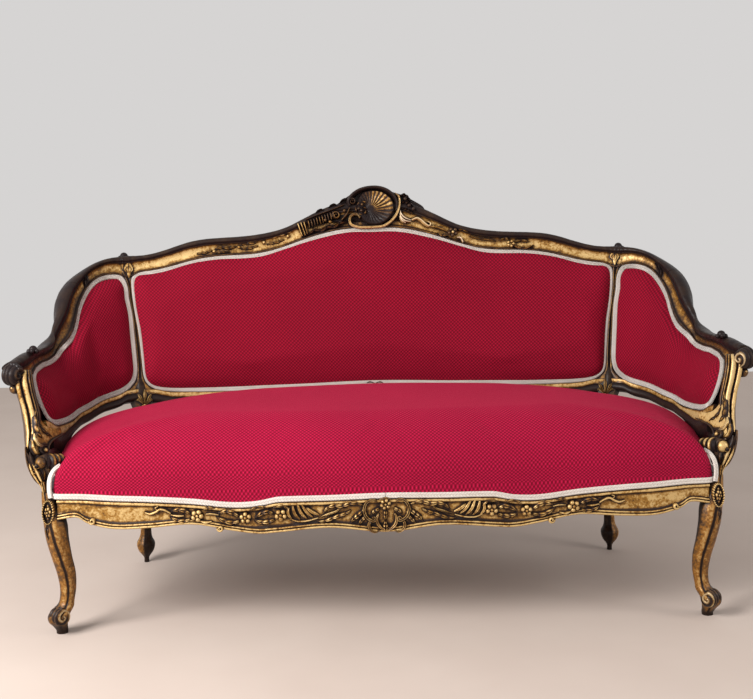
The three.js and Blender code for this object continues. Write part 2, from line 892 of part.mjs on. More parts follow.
const rearRailShares = [
  [0.72, 0.325, 0.331, 0.28],
  [0.62, 0.343, 0.331, 0.28],
  [0.444, 0.36, 0.331, 0.28],
  [0.222, 0.373, 0.331, 0.28],
  [0, 0.377, 0.331, 0.28],
];
// Seat cover corners round the front leg and the back post, as shares
const frontNotchShares = [
  [0.839, -0.4195, 0.352],
  [0.8405, -0.345, 0.352],
  [0.8965, -0.343, 0.352],
];
const rearNotchShares = [
  [0.777, 0.28, 0.352],
  [0.722, 0.2635, 0.352],
  [0.694, 0.262, 0.352],
  [0.678, 0.292, 0.352],
  [0.668, 0.334, 0.352],
];

// Plan points of a rail with its inward direction, fabric edge and bottom at each.
const planPoint = ([xShare, yShare]) => new THREE.Vector2(xShare * halfWidth, yShare * frameDepth);
function railStations(rows) {
  const points = rows.map(planPoint);
  return rows.map(([, , edgeShare, bottomShare], i) => {
    const before = points[Math.max(i - 1, 0)];
    const after = points[Math.min(i + 1, points.length - 1)];
    const along = after.clone().sub(before).normalize();
    return {
      point: points[i],
      inwards: new THREE.Vector2(-along.y, along.x),
      edge: edgeShare * backHeight,
      bottom: bottomShare * backHeight,
    };
  });
}

// Seat rail: a carved apron outside and a thinner web inside, with a rebate for the cover.
function seatRail(stations, grow = 0) {
  let firstSection;
  const rings = stations.map(({ point, inwards, edge, bottom }) => {
    const inner = Math.max(seatRailInnerBottom, bottom);
    const section = [
      [0, bottom + beadHeight],
      [0, edge - fitGap],
      [coverRebate, edge - fitGap],
      [coverRebate, seatRailTop],
      [seatRailThickness, seatRailTop],
      [seatRailThickness, inner],
      [apronThickness, inner],
      [apronThickness, bottom],
      [-beadRise, bottom],
      [-beadRise, bottom + beadHeight * roundedShares.edge],
    ].map(([inset, z]) => new THREE.Vector2(inset, z));
    const used = grow > 0 ? grownOutline(section, grow) : section;
    firstSection = firstSection || used;
    return used.map((corner) => {
      const spot = point.clone().addScaledVector(inwards, corner.x);
      return new THREE.Vector3(spot.x, spot.y, corner.y);
    });
  });
  return solidOf(loft(rings, firstSection));
}

// Loop round the seat plan, drawn in by a distance, with the fabric's edge height at each point.
function insetLoop(rows, inset) {
  const other = rows
    .slice(1, -1)
    .reverse()
    .map(([xShare, ...rest]) => [-xShare, ...rest]);
  const all = [...rows, ...other];
  const drawn = grownOutline(all.map(planPoint), -inset);
  return drawn.map(({ x, y }, i) => ({ x, y, edge: all[i][2] * backHeight }));
}
const coverRows = [
  ...frontRailShares.slice(0, -2),
  ...frontNotchShares,
  ...sideRailShares.slice(1, -1),
  ...rearNotchShares,
  ...rearRailShares.slice(1),
];
const seatLoop = (inset) => insetLoop(coverRows, inset);

// Share of the way from the seat centre to the cover's plain outline, notches left out.
const plainRows = [
  ...frontRailShares.slice(0, -2),
  ...sideRailShares.slice(1, -1),
  ...rearRailShares.slice(1),
];
const plainLoop = insetLoop(plainRows, coverRebate - fitGap - fabricThickness);
function reachShare(x, y) {
  const centreY = seatCentreShare * frameDepth;
  const found = plainLoop.map((a, i) => {
    const b = plainLoop[(i + 1) % plainLoop.length];
    const along = [b.x - a.x, b.y - a.y];
    const turn = x * along[1] - y * along[0];
    const far = (a.x * along[1] - (a.y - centreY) * along[0]) / turn;
    const part = (a.x * y - (a.y - centreY) * x) / turn;
    return far > 0 && part >= 0 && part <= 1 ? 1 / far : 0;
  });
  return Math.min(Math.max(...found), 1);
}

// Height of the seat dome over the rail at a place from the seat centre.
function domeRise(x, y) {
  const bearing = ((x * x) / (x * x + y * y)) ** domeBearingPower;
  const power = THREE.MathUtils.lerp(domeFrontPower, domeSidePower, bearing);
  return seatCrown * (1 - reachShare(x, y) ** power) ** domeRoundness;
}

// Ring of the dome: the seat loop drawn towards the centre, with its height lowered by a depth.
function domeRing(loop, share, depth) {
  const centreY = seatCentreShare * frameDepth;
  return loop.map(({ x, y }) => {
    const rise = domeRise(x * share, (y - centreY) * share);
    return new THREE.Vector3(
      x * share,
      centreY + (y - centreY) * share,
      seatRailTop + fitGap + fabricThickness + rise - depth,
    );
  });
}

// Flat ring: the seat loop drawn towards the centre, at one height.
function levelRing(loop, share, z) {
  const centreY = seatCentreShare * frameDepth;
  return loop.map(({ x, y }) => new THREE.Vector3(x * share, centreY + (y - centreY) * share, z));
}
const edgeRing = (loop, lift) => loop.map(({ x, y, edge }) => new THREE.Vector3(x, y, edge + lift));
const flatOutline = (ring) => ring.map((point) => new THREE.Vector2(point.x, point.y));

const coverIn = coverRebate - fitGap;
const coverOut = coverIn - fabricThickness;
const innerLoop = seatLoop(coverIn);
const outerLoop = seatLoop(coverOut);
const domeShares = [0.965, 0.89, 0.72, 0.42, 0.04];
const coverBend = seatRailTop + gimpWidth;

// Seat cover: a domed sheet that turns down over the rails into their rebate.
function seatCover() {
  const under = [...domeShares].reverse().map((share) => domeRing(outerLoop, share, fabricThickness));
  const over = domeShares.map((share) => domeRing(outerLoop, share, 0));
  const rings = [
    ...under,
    levelRing(innerLoop, 1, coverBend),
    edgeRing(innerLoop, 0),
    edgeRing(outerLoop, 0),
    levelRing(outerLoop, 1, coverBend + fabricThickness),
    ...over,
  ];
  return solidOf(loft(rings, flatOutline(rings[0]), domeShares.length + 1));
}

// Seat padding between the springs and the cover, hollow over the springs.
function seatStuffing() {
  const floor = seatRailTop + fitGap;
  const crown = domeShares.map((share) => domeRing(outerLoop, share, fabricThickness + fitGap));
  const rings = [
    ...crown.reverse(),
    levelRing(outerLoop, domeShares[0], floor),
    levelRing(outerLoop, stuffingShares.rail, floor),
    levelRing(outerLoop, stuffingShares.spring, springTop + fitGap),
  ];
  return solidOf(loft(rings, flatOutline(rings[0]), domeShares.length - 1));
}

// Seat gimp: a braid in the rebate, over the cover's edge.
function seatGimp(grow = 0) {
  const inset = coverOut - fitGap;
  const [back, front] = [seatLoop(inset + grow), seatLoop(inset - gimpThickness - grow)];
  const [low, high] = [-grow, gimpWidth + grow];
  return solidOf(
    ringLoop([edgeRing(back, low), edgeRing(back, high), edgeRing(front, high), edgeRing(front, low)]),
  );
}

// Webbing: straps both ways under the rails, trimmed to the seat opening.
function seatWebbing() {
  const top = seatRailInnerBottom - fitGap;
  const strap = (length, width, x, y) => {
    const box = new THREE.BoxGeometry(length, width, webThickness);
    return solidOf(box.translate(x, y, top - webThickness / 2));
  };
  const centreY = seatCentreShare * frameDepth;
  const straps = [];
  for (let i = 0; i < strapColumns; i += 1) {
    const x = (i - (strapColumns - 1) / 2) * strapPitch;
    straps.push(strap(strapWidth, frameDepth, x, centreY));
  }
  for (let j = 0; j < strapRows; j += 1) {
    const y = centreY + (j - (strapRows - 1) / 2) * strapPitch;
    straps.push(strap(2 * halfWidth, strapWidth, 0, y));
  }
  const mat = wasm.Manifold.union(straps);
  const rows = [
    ...frontRailShares.slice(0, -2),
    ...sideRailShares.slice(1, -1),
    ...rearRailShares.slice(1),
  ];
  const loop = insetLoop(rows, apronThickness + webLap);
  const rings = [levelRing(loop, 1, top - 2 * webThickness), levelRing(loop, 1, top + webThickness)];
  const region = solidOf(loft(rings, flatOutline(rings[0])));
  return [legCutter, postCutter, otherHand(legCutter), otherHand(postCutter)].reduce(
    (left, cutter) => left.subtract(cutter),
    mat.intersect(region),
  );
}

// Springs: waisted coils on the webbing, tied to each other at the top.
function springCoil(x, y) {
  const steps = springTurns * springSteps;
  const floor = seatRailInnerBottom + springWire / 2;
  const height = springTop - seatRailInnerBottom - springWire;
  const points = Array.from({ length: steps + 1 }, (_, i) => {
    const share = i / steps;
    const radius = THREE.MathUtils.lerp(springWaist, springRadius, Math.abs(2 * share - 1));
    const angle = (i / springSteps) * 2 * Math.PI;
    const [across, deep] = [radius * Math.cos(angle), radius * Math.sin(angle)];
    return new THREE.Vector3(x + across, y + deep, floor + height * share);
  });
  const rings = points.map((point, i) => {
    const angle = (i / springSteps) * 2 * Math.PI;
    const out = new THREE.Vector3(Math.cos(angle), Math.sin(angle), 0);
    return [0, 1, 2].map((k) => {
      const turn = (k / 3) * 2 * Math.PI;
      const spot = point.clone().addScaledVector(out, (springWire / 2) * Math.cos(turn));
      spot.z += (springWire / 2) * Math.sin(turn);
      return spot;
    });
  });
  const triangle = [new THREE.Vector2(1, 0), new THREE.Vector2(0, 1), new THREE.Vector2(0, 0)];
  return solidOf(loft(rings, triangle));
}

function seatSprings() {
  const centreY = seatCentreShare * frameDepth;
  const solids = [];
  const spots = [];
  for (let i = 0; i < springColumns; i += 1) {
    for (let j = 0; j < springRows; j += 1) {
      const x = (i - (springColumns - 1) / 2) * springPitch;
      const y = centreY + (j - (springRows - 1) / 2) * springPitch;
      spots.push([x, y]);
      solids.push(springCoil(x, y));
    }
  }
  const z = springTop - springWire / 2;
  const wire = (fromX, fromY, toX, toY) => {
    const [from, to] = [new THREE.Vector3(fromX, fromY, z), new THREE.Vector3(toX, toY, z)];
    return bar(from, to, springWire, springWire, new THREE.Vector3(0, 0, 1));
  };
  const reach = springPitch * (springColumns - 1) / 2 + springRadius;
  for (let j = 0; j < springRows; j += 1) {
    const y = centreY + (j - (springRows - 1) / 2) * springPitch;
    solids.push(wire(-reach, y, reach, y));
  }
  const depth = springPitch * (springRows - 1) / 2 + springRadius;
  [-1, 1].forEach((side) => {
    const x = side * springPitch * (springColumns - 1) / 2;
    solids.push(wire(x, centreY - depth, x, centreY + depth));
  });
  return wasm.Manifold.union(solids);
}

// Legs and posts as shares: centre x, y, z, then half sizes as shares of the leg's half size
const frontLegShares = [
  [0.861, -0.381, 0, 0.57, 0.57],
  [0.861, -0.381, 0.008, 0.61, 0.61],
  [0.864, -0.387, 0.02, 0.74, 0.74],
  [0.867, -0.395, 0.035, 1.11, 1.11],
  [0.864, -0.395, 0.05, 1.17, 1.17],
  [0.851, -0.386, 0.066, 0.95, 0.95],
  [0.845, -0.379, 0.08, 0.74, 0.74],
  [0.841, -0.375, 0.11, 0.8, 0.8],
  [0.842, -0.382, 0.15, 0.95, 0.95],
  [0.849, -0.392, 0.19, 1.06, 1.06],
  [0.856, -0.4, 0.235, 1.22, 1.22],
  [0.858, -0.398, 0.27, 1.32, 1.32],
  [0.866, -0.391, 0.305, 1.2, 1.2],
  [0.872, -0.385, 0.346, 1.04, 1.04],
];
const armSupportShares = [
  [0.873, -0.385, 0.3468, 0.91, 0.91],
  [0.875, -0.383, 0.36, 0.83, 0.83],
  [0.883, -0.372, 0.375, 1.04, 0.95],
  [0.889, -0.351, 0.4, 1.5, 1.04],
  [0.893, -0.328, 0.42, 1.55, 1.04],
  [0.913, -0.29, 0.45, 1.08, 1.04],
  [0.924, -0.26, 0.486, 0.91, 0.91],
  [0.929, -0.258, 0.51, 0.7, 0.7],
];
const rearLegShares = [
  [0.722, 0.292, 0, 0.52, 0.52],
  [0.722, 0.292, 0.008, 0.55, 0.55],
  [0.722, 0.292, 0.022, 0.63, 0.63],
  [0.722, 0.294, 0.045, 0.8, 0.8],
  [0.722, 0.296, 0.07, 0.68, 0.68],
  [0.72, 0.298, 0.11, 0.63, 0.63],
  [0.719, 0.301, 0.16, 0.76, 0.76],
  [0.718, 0.304, 0.22, 0.89, 0.89],
  [0.717, 0.306, 0.262, 1, 1],
  [0.717, 0.306, 0.352, 1, 1],
  [0.718, 0.307, 0.42, 0.9, 0.9],
  [0.722, 0.318, 0.49, 0.78, 0.78],
  [0.728, 0.338, 0.532, 0.4, 0.4],
];
const grownShares = (rows, grow) => {
  const more = grow / legHalfSize;
  return rows.map(([x, y, z, wide, deep]) => [x, y, z, wide + more, deep + more]);
};
const legSides = 8;
function frontLegSolid(grow = 0) {
  return turnedPost(grownShares(frontLegShares, grow), legHalfSize, legSides, 0);
}
function armSupportSolid(grow = 0) {
  const lower = turnedPost(grownShares(armSupportShares, grow), legHalfSize, legSides, 0);
  return lower.add(member(supportStations, supportOutline, grow));
}
function rearPostSolid(grow = 0) {
  const lower = turnedPost(grownShares(rearLegShares, grow), legHalfSize, legSides, 0);
  return lower.add(member(postStations, postOutline, grow));
}

// Arm rail with its scroll
function armRailSolid(grow = 0) {
  const rail = member(armStations, crestOutline, grow);
  const centre = placed(scrollShares);
  const axis = new THREE.Vector3(Math.cos(scrollTurn), Math.sin(scrollTurn), 0);
  const half = axis.multiplyScalar(scrollThickness / 2 + grow);
  const scroll = pin(centre.clone().sub(half), centre.clone().add(half), scrollRadius + grow, scrollSides);
  return rail.add(scroll);
}

// Carved shell on the middle of the crest: places across and heights of its outline, as shares
const shellShares = [
  [-0.202, 0.941],
  [-0.153, 0.962],
  [-0.111, 0.972],
  [-0.074, 0.993],
  [-0.043, 1.009],
  [-0.008, 1.017],
  [0.034, 1.016],
  [0.064, 1.004],
  [0.089, 0.996],
  [0.124, 0.979],
  [0.15, 0.96],
  [0.145, 0.935],
  [0.07, 0.924],
  [-0.07, 0.924],
  [-0.19, 0.918],
];
function crestShellSolid() {
  const shape = new THREE.Shape(
    shellShares.map(([xShare, zShare]) => new THREE.Vector2(xShare * halfWidth, zShare * backHeight)),
  );
  const geometry = new THREE.ExtrudeGeometry(shape, { depth: shellThickness, bevelEnabled: false });
  const up = surfacePoint(0, 1).sub(surfacePoint(0, 0)).normalize();
  const normal = surfaceNormal(0, 1);
  const basis = new THREE.Matrix4().makeBasis(new THREE.Vector3(1, 0, 0), up, normal);
  geometry.translate(0, -backHeight, shellFace - shellThickness);
  geometry.applyMatrix4(basis);
  const middle = surfacePoint(0, 1);
  const rise = (backHeight - middle.z) / up.z;
  const origin = middle.addScaledVector(up, rise);
  return solidOf(geometry.translate(origin.x, origin.y, origin.z));
}

// Frame pieces of one hand, before their joints are cut
let crest = member(crestAll, crestOutline);
const crestCutter = member(crestAll, crestOutline, cutGap);
let shoulder = member(shoulderStations, crestOutline);
const shoulderCutter = member(shoulderStations, crestOutline, cutGap);
let armRail = armRailSolid();
let support = mainBody(armSupportSolid().subtract(armRailSolid(cutGap)));
const supportCutter = armSupportSolid(cutGap);
let post = mainBody(rearPostSolid().subtract(crestCutter).subtract(shoulderCutter));
const postCutter = rearPostSolid(cutGap);
let leg = frontLegSolid();
const legCutter = frontLegSolid(cutGap);
const sideLowerBlank = member(lowerStations(sidePanel), lowerOutline);
let lowerSide = mainBody(sideLowerBlank.subtract(postCutter).subtract(supportCutter));
const backLowerBlank = member(lowerStations(backPanel), lowerOutline);
let lowerBack = mainBody(backLowerBlank.subtract(postCutter).subtract(otherHand(postCutter)));

// Seat rails
const bothHands = (stations) => {
  const other = stations
    .slice(1)
    .reverse()
    .map(({ point, inwards, edge, bottom }) => ({
      point: new THREE.Vector2(-point.x, point.y),
      inwards: new THREE.Vector2(-inwards.x, inwards.y),
      edge,
      bottom,
    }));
  return [...other, ...stations];
};
const frontStations = bothHands(railStations(frontRailShares));
const rearStations = bothHands([...railStations(rearRailShares)].reverse());
const sideStations = railStations(sideRailShares);
const cutBothEnds = (rail, cutter) => mainBody(rail.subtract(cutter).subtract(otherHand(cutter)));
let frontRail = cutBothEnds(seatRail(frontStations), legCutter);
let rearRail = cutBothEnds(seatRail(rearStations), postCutter);
let sideRail = mainBody(seatRail(sideStations).subtract(legCutter).subtract(postCutter));

// Joints on the back surface, by guide position and height share
const surfaceJointShares = {
  supportTop: [8.35, 0.83],
  postTop: [3.05, 0.865],
  lowerBackEnd: [2.93, -0.02],
  lowerSideRear: [3.22, 0],
  lowerSideFront: [7.75, 0.09],
};

// Joints of the seat frame, as shares of the driving sizes, with the way each tenon points
const seatJointShares = {
  supportFoot: [0.8725, -0.385, legTopShare],
  frontRail: [0.846, -0.393, 0.315],
  sideRailFront: [0.876, -0.355, 0.315],
  sideRailRear: [0.744, 0.287, 0.315],
  rearRail: [0.69, 0.318, 0.315],
};
const tenonWayShares = {
  sideRailRear: [-1, 0.6, 0],
  rearRail: [1, -0.12, 0],
};
const upAt = (u, h) => surfacePoint(u, h + jointStepShare).sub(surfacePoint(u, h));
const alongAt = (u, h) => surfacePoint(u + jointStepShare, h).sub(surfacePoint(u - jointStepShare, h));
const midRail = (faceRise - railBack) / 2;
const vertical = new THREE.Vector3(0, 0, 1);
const forwards = new THREE.Vector3(0, -1, 0);
const rightwards = new THREE.Vector3(1, 0, 0);
const rowMiddle = (row) => [(row[0] + row[2]) / 2, (row[1] + row[3]) / 2];

const crestDowel = dowelAt(
  offSurface(rowMiddle(shoulderStart), midRail),
  alongAt(...rowMiddle(shoulderStart)),
);
const beforeShoulderEnd = shoulderShares[shoulderShares.length - 2];
const armDowel = dowelAt(
  offSurface(rowMiddle(shoulderEnd), midRail),
  surfacePoint(...rowMiddle(armShares[0])).sub(surfacePoint(...rowMiddle(beforeShoulderEnd))),
);
const { supportTop, postTop, lowerBackEnd, lowerSideRear, lowerSideFront } = surfaceJointShares;
const supportDowel = dowelAt(offSurface(supportTop, midRail), upAt(...supportTop));
const footDowel = dowelAt(placed(seatJointShares.supportFoot), vertical);
const postTenon = tenonAt(offSurface(postTop, midRail), upAt(...postTop), alongAt(...postTop));
const sideways = (row, direction) => tenonAt(offSurface(row, midRail), direction, upAt(...row));
const lowerBackTenon = sideways(lowerBackEnd, alongAt(...lowerBackEnd));
const lowerSideRearTenon = sideways(lowerSideRear, alongAt(...lowerSideRear).negate());
const lowerSideFrontTenon = sideways(lowerSideFront, alongAt(...lowerSideFront));
const level = (name, direction) => tenonAt(placed(seatJointShares[name]), direction, vertical);
const frontRailTenon = level("frontRail", rightwards);
const sideRailFrontTenon = level("sideRailFront", forwards);
const sideRailRearTenon = level("sideRailRear", new THREE.Vector3(...tenonWayShares.sideRailRear));
const rearRailTenon = level("rearRail", new THREE.Vector3(...tenonWayShares.rearRail));

const addTongue = (piece, joint) => piece.add(joint.tongue);
const cutMortise = (piece, joint) => piece.subtract(joint.mortise);
post = addTongue(post, postTenon);
crest = [postTenon.mortise, crestDowel.hole].reduce(
  (piece, cutter) => piece.subtract(cutter).subtract(otherHand(cutter)),
  crest,
);
shoulder = shoulder.subtract(crestDowel.hole).subtract(armDowel.hole);
armRail = armRail.subtract(armDowel.hole).subtract(supportDowel.hole);
support = cutMortise(support, lowerSideFrontTenon).subtract(supportDowel.hole).subtract(footDowel.hole);
leg = cutMortise(cutMortise(leg, frontRailTenon), sideRailFrontTenon).subtract(footDowel.hole);
post = [lowerBackTenon, lowerSideRearTenon, sideRailRearTenon, rearRailTenon].reduce(cutMortise, post);
lowerSide = addTongue(addTongue(lowerSide, lowerSideRearTenon), lowerSideFrontTenon);
sideRail = addTongue(addTongue(sideRail, sideRailFrontTenon), sideRailRearTenon);
lowerBack = lowerBack.add(lowerBackTenon.tongue).add(otherHand(lowerBackTenon.tongue));
frontRail = frontRail.add(frontRailTenon.tongue).add(otherHand(frontRailTenon.tongue));
rearRail = rearRail.add(rearRailTenon.tongue).add(otherHand(rearRailTenon.tongue));
const crestShell = mainBody(crestShellSolid().subtract(crestCutter));

// Corner blocks and the cross bearer inside the seat frame
const blockShares = { front: [0.8, -0.35, 0.32], rear: [0.675, 0.235, 0.32] };
const grownRail = (stations) => seatRail(stations, cutGap);
const railCutters = [frontStations, sideStations, rearStations].map(grownRail);
const trimmed = (piece, cutters) =>
  mainBody(cutters.reduce((left, cutter) => left.subtract(cutter), piece));
function blockAcross(corner, outwards) {
  const across = new THREE.Vector3(-outwards.y, outwards.x, 0).setLength(blockReach);
  const centre = placed(corner);
  const [from, to] = [centre.clone().sub(across), centre.clone().add(across)];
  return bar(from, to, blockThickness, blockHeight, vertical.clone().cross(across));
}
const frontBlock = trimmed(blockAcross(blockShares.front, new THREE.Vector3(1, -1, 0)), [
  ...railCutters,
  legCutter,
]);
const rearBlock = trimmed(blockAcross(blockShares.rear, new THREE.Vector3(1, 1, 0)), [
  ...railCutters,
  postCutter,
]);
const braceHeight = seatRailInnerBottom + braceThickness;
const braceEnd = (side) => new THREE.Vector3(0, (side * frameDepth) / 2, braceHeight);
const brace = trimmed(bar(braceEnd(-1), braceEnd(1), braceWidth, braceThickness, rightwards), railCutters);

// Upholstery
const backLayers = upholster(backPanel, backCrown, backCrownReach);
const sideLayers = upholster(sidePanel, sideCrown, sideCrownReach);
const seatFabric = seatCover().subtract(supportCutter).subtract(otherHand(supportCutter));
const seatPad = [supportCutter, otherHand(supportCutter), seatGimp(fitGap)].reduce(
  (left, cutter) => left.subtract(cutter),
  seatStuffing(),
);

// Materials
const finishes = {
  gilt: { color: 0x9a7440, roughness: 0.45, metalness: 0.55 },
  beech: { color: 0xb08a5c, roughness: 0.75, metalness: 0 },
  crimson: { color: 0x9e1531, roughness: 0.85, metalness: 0 },
  lining: { color: 0x7c1228, roughness: 0.9, metalness: 0 },
  braid: { color: 0xe2dcd2, roughness: 0.85, metalness: 0 },
  hair: { color: 0x5a4a3a, roughness: 0.95, metalness: 0 },
  jute: { color: 0xa98d62, roughness: 0.95, metalness: 0 },
  steel: { color: 0x8d8f92, roughness: 0.4, metalness: 0.9 },
};
const materials = Object.fromEntries(
  Object.entries(finishes).map(([name, finish]) => [name, new THREE.MeshStandardMaterial(finish)]),
);

// The sofa
const sofa = new THREE.Group();
function place(name, solid, finish) {
  const geometry = geometryOf(solid);
  geometry.computeVertexNormals();
  const mesh = new THREE.Mesh(geometry, materials[finish].clone());
  mesh.name = name;
  sofa.add(mesh);
}
function placePair(name, solid, finish) {
  place(`${name}_left`, otherHand(solid), finish);
  place(`${name}_right`, solid, finish);
}

place("crest_rail", crest, "gilt");
place("crest_shell", crestShell, "gilt");
place("lower_back_rail", lowerBack, "gilt");
place("front_seat_rail", frontRail, "gilt");
place("rear_seat_rail", rearRail, "gilt");
placePair("shoulder_rail", shoulder, "gilt");
placePair("arm_rail", armRail, "gilt");
placePair("arm_support", support, "gilt");
placePair("back_post", post, "gilt");
placePair("lower_side_rail", lowerSide, "gilt");
placePair("side_seat_rail", sideRail, "gilt");
placePair("front_leg", leg, "gilt");
placePair("front_corner_block", frontBlock, "beech");
placePair("rear_corner_block", rearBlock, "beech");
placePair("crest_dowel", crestDowel.peg, "beech");
placePair("arm_dowel", armDowel.peg, "beech");
placePair("support_top_dowel", supportDowel.peg, "beech");
placePair("support_foot_dowel", footDowel.peg, "beech");
place("seat_cross_bearer", brace, "beech");
place("seat_webbing", seatWebbing(), "jute");
place("seat_springs", seatSprings(), "steel");
place("seat_stuffing", seatPad, "hair");
place("seat_cover", seatFabric, "crimson");
place("seat_gimp", seatGimp(), "braid");
place("back_webbing", backLayers.webbing, "jute");
place("back_stuffing", backLayers.padding, "hair");
place("back_cover", backLayers.cover, "crimson");
place("back_gimp", backLayers.gimp, "braid");
place("back_outer_cover", backLayers.outerCover, "lining");
placePair("side_webbing", sideLayers.webbing, "jute");
placePair("side_stuffing", sideLayers.padding, "hair");
placePair("side_cover", sideLayers.cover, "crimson");
placePair("side_gimp", sideLayers.gimp, "braid");
placePair("side_outer_cover", sideLayers.outerCover, "lining");

// The sofa's box is centred over the origin.
const centre = new THREE.Box3().setFromObject(sofa).getCenter(new THREE.Vector3());
sofa.children.forEach((mesh) => mesh.geometry.translate(0, -centre.y, 0));

export default sofa;
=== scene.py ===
import math

import bmesh
import bpy
import numpy as np
from mathutils import Matrix, Vector


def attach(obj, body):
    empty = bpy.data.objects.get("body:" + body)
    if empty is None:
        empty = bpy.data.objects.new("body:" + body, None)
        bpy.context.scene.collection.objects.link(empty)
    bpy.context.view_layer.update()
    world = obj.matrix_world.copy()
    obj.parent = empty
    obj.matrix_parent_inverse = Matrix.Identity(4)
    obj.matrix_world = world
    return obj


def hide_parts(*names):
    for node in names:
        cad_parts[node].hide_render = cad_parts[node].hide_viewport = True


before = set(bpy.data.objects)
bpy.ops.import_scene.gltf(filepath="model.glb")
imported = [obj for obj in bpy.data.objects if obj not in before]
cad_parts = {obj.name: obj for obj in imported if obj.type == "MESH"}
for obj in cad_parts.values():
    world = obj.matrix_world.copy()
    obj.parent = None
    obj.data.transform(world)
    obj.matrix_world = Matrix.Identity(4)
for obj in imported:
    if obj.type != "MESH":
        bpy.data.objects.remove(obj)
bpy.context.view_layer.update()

SIDES = ((1, "right"), (-1, "left"))

# Driving sizes, in metres
HALF, DEPTH, HEIGHT = 0.9, 0.8, 1.0
SHIFT = np.array([0.0, -0.03172, 0.0])
RAIL_BACK = 0.024

# ---- the back surface -------------------------------------------------------
LOWER = [(0, .375, .475), (.244, .37, .47), (.489, .3475, .462), (.708, .301, .458), (.817, .2125, .458),
         (.867, .0875, .458), (.883, -.0375, .455), (.886, -.15, .45), (.883, -.25, .44), (.878, -.3375, .42)]
UPPER = [(0, .525, .952), (.278, .519, .885), (.533, .4975, .858), (.756, .4575, .82), (.872, .369, .808),
         (.936, .219, .735), (.953, .125, .64), (.958, -.0375, .62), (.961, -.1625, .62), (.983, -.25, .61)]


def whole(half, flip):
    """A line that starts at the middle, with its mirror image before it."""
    return np.vstack([(half[1:] * flip)[::-1], half])


def guide(rows):
    """A guide line of the surface in metres, from side to side."""
    return whole(np.array(rows, float) * (HALF, DEPTH, HEIGHT) + SHIFT, (-1, 1, 1))


LOW, HIGH = guide(LOWER), guide(UPPER)
SPAN = len(LOWER) - 1


def bend(a, b, c, d, w):
    """The smooth curve between b and c at share w, with a before them and d after."""
    t0, t1 = (c - a) / 2, (d - b) / 2
    return b + t0 * w + (3 * (c - b) - 2 * t0 - t1) * w ** 2 + (2 * (b - c) + t0 + t1) * w ** 3


def catmull(points, q):
    """Smooth curve through points, at positions counted in points."""
    points = np.asarray(points, float)
    n = len(points)
    q = np.clip(np.asarray(q, float), 0, n - 1)
    i = np.minimum(np.floor(q).astype(int), n - 2)
    ext = np.vstack([2 * points[0] - points[1], points, 2 * points[-1] - points[-2]])
    return bend(ext[i], ext[i + 1], ext[i + 2], ext[i + 3], (q - i)[..., None])


def closed_catmull(points, q):
    """Smooth closed curve through points, at positions counted in points."""
    points = np.asarray(points, float)
    n = len(points)
    q = np.mod(np.asarray(q, float), n)
    i = np.floor(q).astype(int)
    return bend(points[(i - 1) % n], points[i % n], points[(i + 1) % n], points[(i + 2) % n], (q - i)[..., None])


def surf(u, h):
    """Points of the surface that back and sides follow: u round the plan, h from lower rail to crest."""
    u, h = np.broadcast_arrays(np.asarray(u, float), np.asarray(h, float))
    low, high = catmull(LOW, u + SPAN), catmull(HIGH, u + SPAN)
    return low + (high - low) * h[..., None]


def unit(v):
    return v / np.maximum(np.linalg.norm(v, axis=-1, keepdims=True), 1e-12)


def surf_normal(u, h):
    """Normals of the surface, towards the sitter."""
    u, h = np.broadcast_arrays(np.asarray(u, float), np.asarray(h, float))
    s = .02  # half the step of the difference
    v = np.clip(u, s - SPAN, SPAN - s)
    return unit(np.cross(surf(v + s, h) - surf(v - s, h), surf(v, h + s) - surf(v, h - s)))


def off(u, h, r):
    """Points raised from the surface by r metres."""
    r = np.asarray(r, float)
    return surf(u, h) + surf_normal(u, h) * r[..., None]


# ---- camera of the picture --------------------------------------------------
CAM = np.array([-.105, -3.309, 1.112]) + SHIFT
YAW, PITCH, ROLL, FOCAL = math.radians(1.73), math.radians(8.47), math.radians(1.02), 1306.5
PICTURE_WIDTH = 753
CENTRE = np.array([376.5, 349.5])


def camera_axes():
    """Right, down and forward of the camera."""
    sy, cy, sp, cp = math.sin(YAW), math.cos(YAW), math.sin(PITCH), math.cos(PITCH)
    sr, cr = math.sin(ROLL), math.cos(ROLL)
    f = np.array([sy * cp, cy * cp, -sp])
    right = np.array([cy, -sy, 0.])
    down = np.cross(f, right)
    return np.array([cr * right + sr * down, -sr * right + cr * down, f])


AXES = camera_axes()


def project(p):
    """Picture points of points in space."""
    q = (np.asarray(p, float) - CAM) @ AXES.T
    return CENTRE + FOCAL * q[..., :2] / q[..., 2:3]


def rays(px):
    """Directions from the camera through picture points."""
    px = np.asarray(px, float)
    d = np.concatenate([(px - CENTRE) / FOCAL, np.ones(px.shape[:-1] + (1,))], -1)
    return unit(d @ AXES)


# ---- mesh helpers -----------------------------------------------------------
def make(name, verts, faces, material, replaced=(), tone=None, weave=None):
    """A piece of the sofa, with the attributes that its material reads."""
    mesh = bpy.data.meshes.new(name)
    mesh.from_pydata(np.asarray(verts, float).tolist(), [], [list(map(int, f)) for f in faces])
    mesh.validate()
    if tone is not None:
        mesh.attributes.new("tone", "FLOAT", "POINT").data.foreach_set("value", np.asarray(tone, np.float32))
    if weave is not None:
        data = mesh.attributes.new("weave", "FLOAT_VECTOR", "POINT").data
        data.foreach_set("vector", np.asarray(weave, np.float32).ravel())
    obj = bpy.data.objects.new(name, mesh)
    bpy.context.scene.collection.objects.link(obj)
    obj.data.materials.append(material)
    shade_smooth(mesh)
    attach(obj, "root")
    if replaced:
        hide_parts(*replaced)
    return obj


def shade_smooth(mesh):
    mesh.polygons.foreach_set("use_smooth", np.ones(len(mesh.polygons), bool))
    mesh.set_sharp_from_angle(angle=math.radians(50))


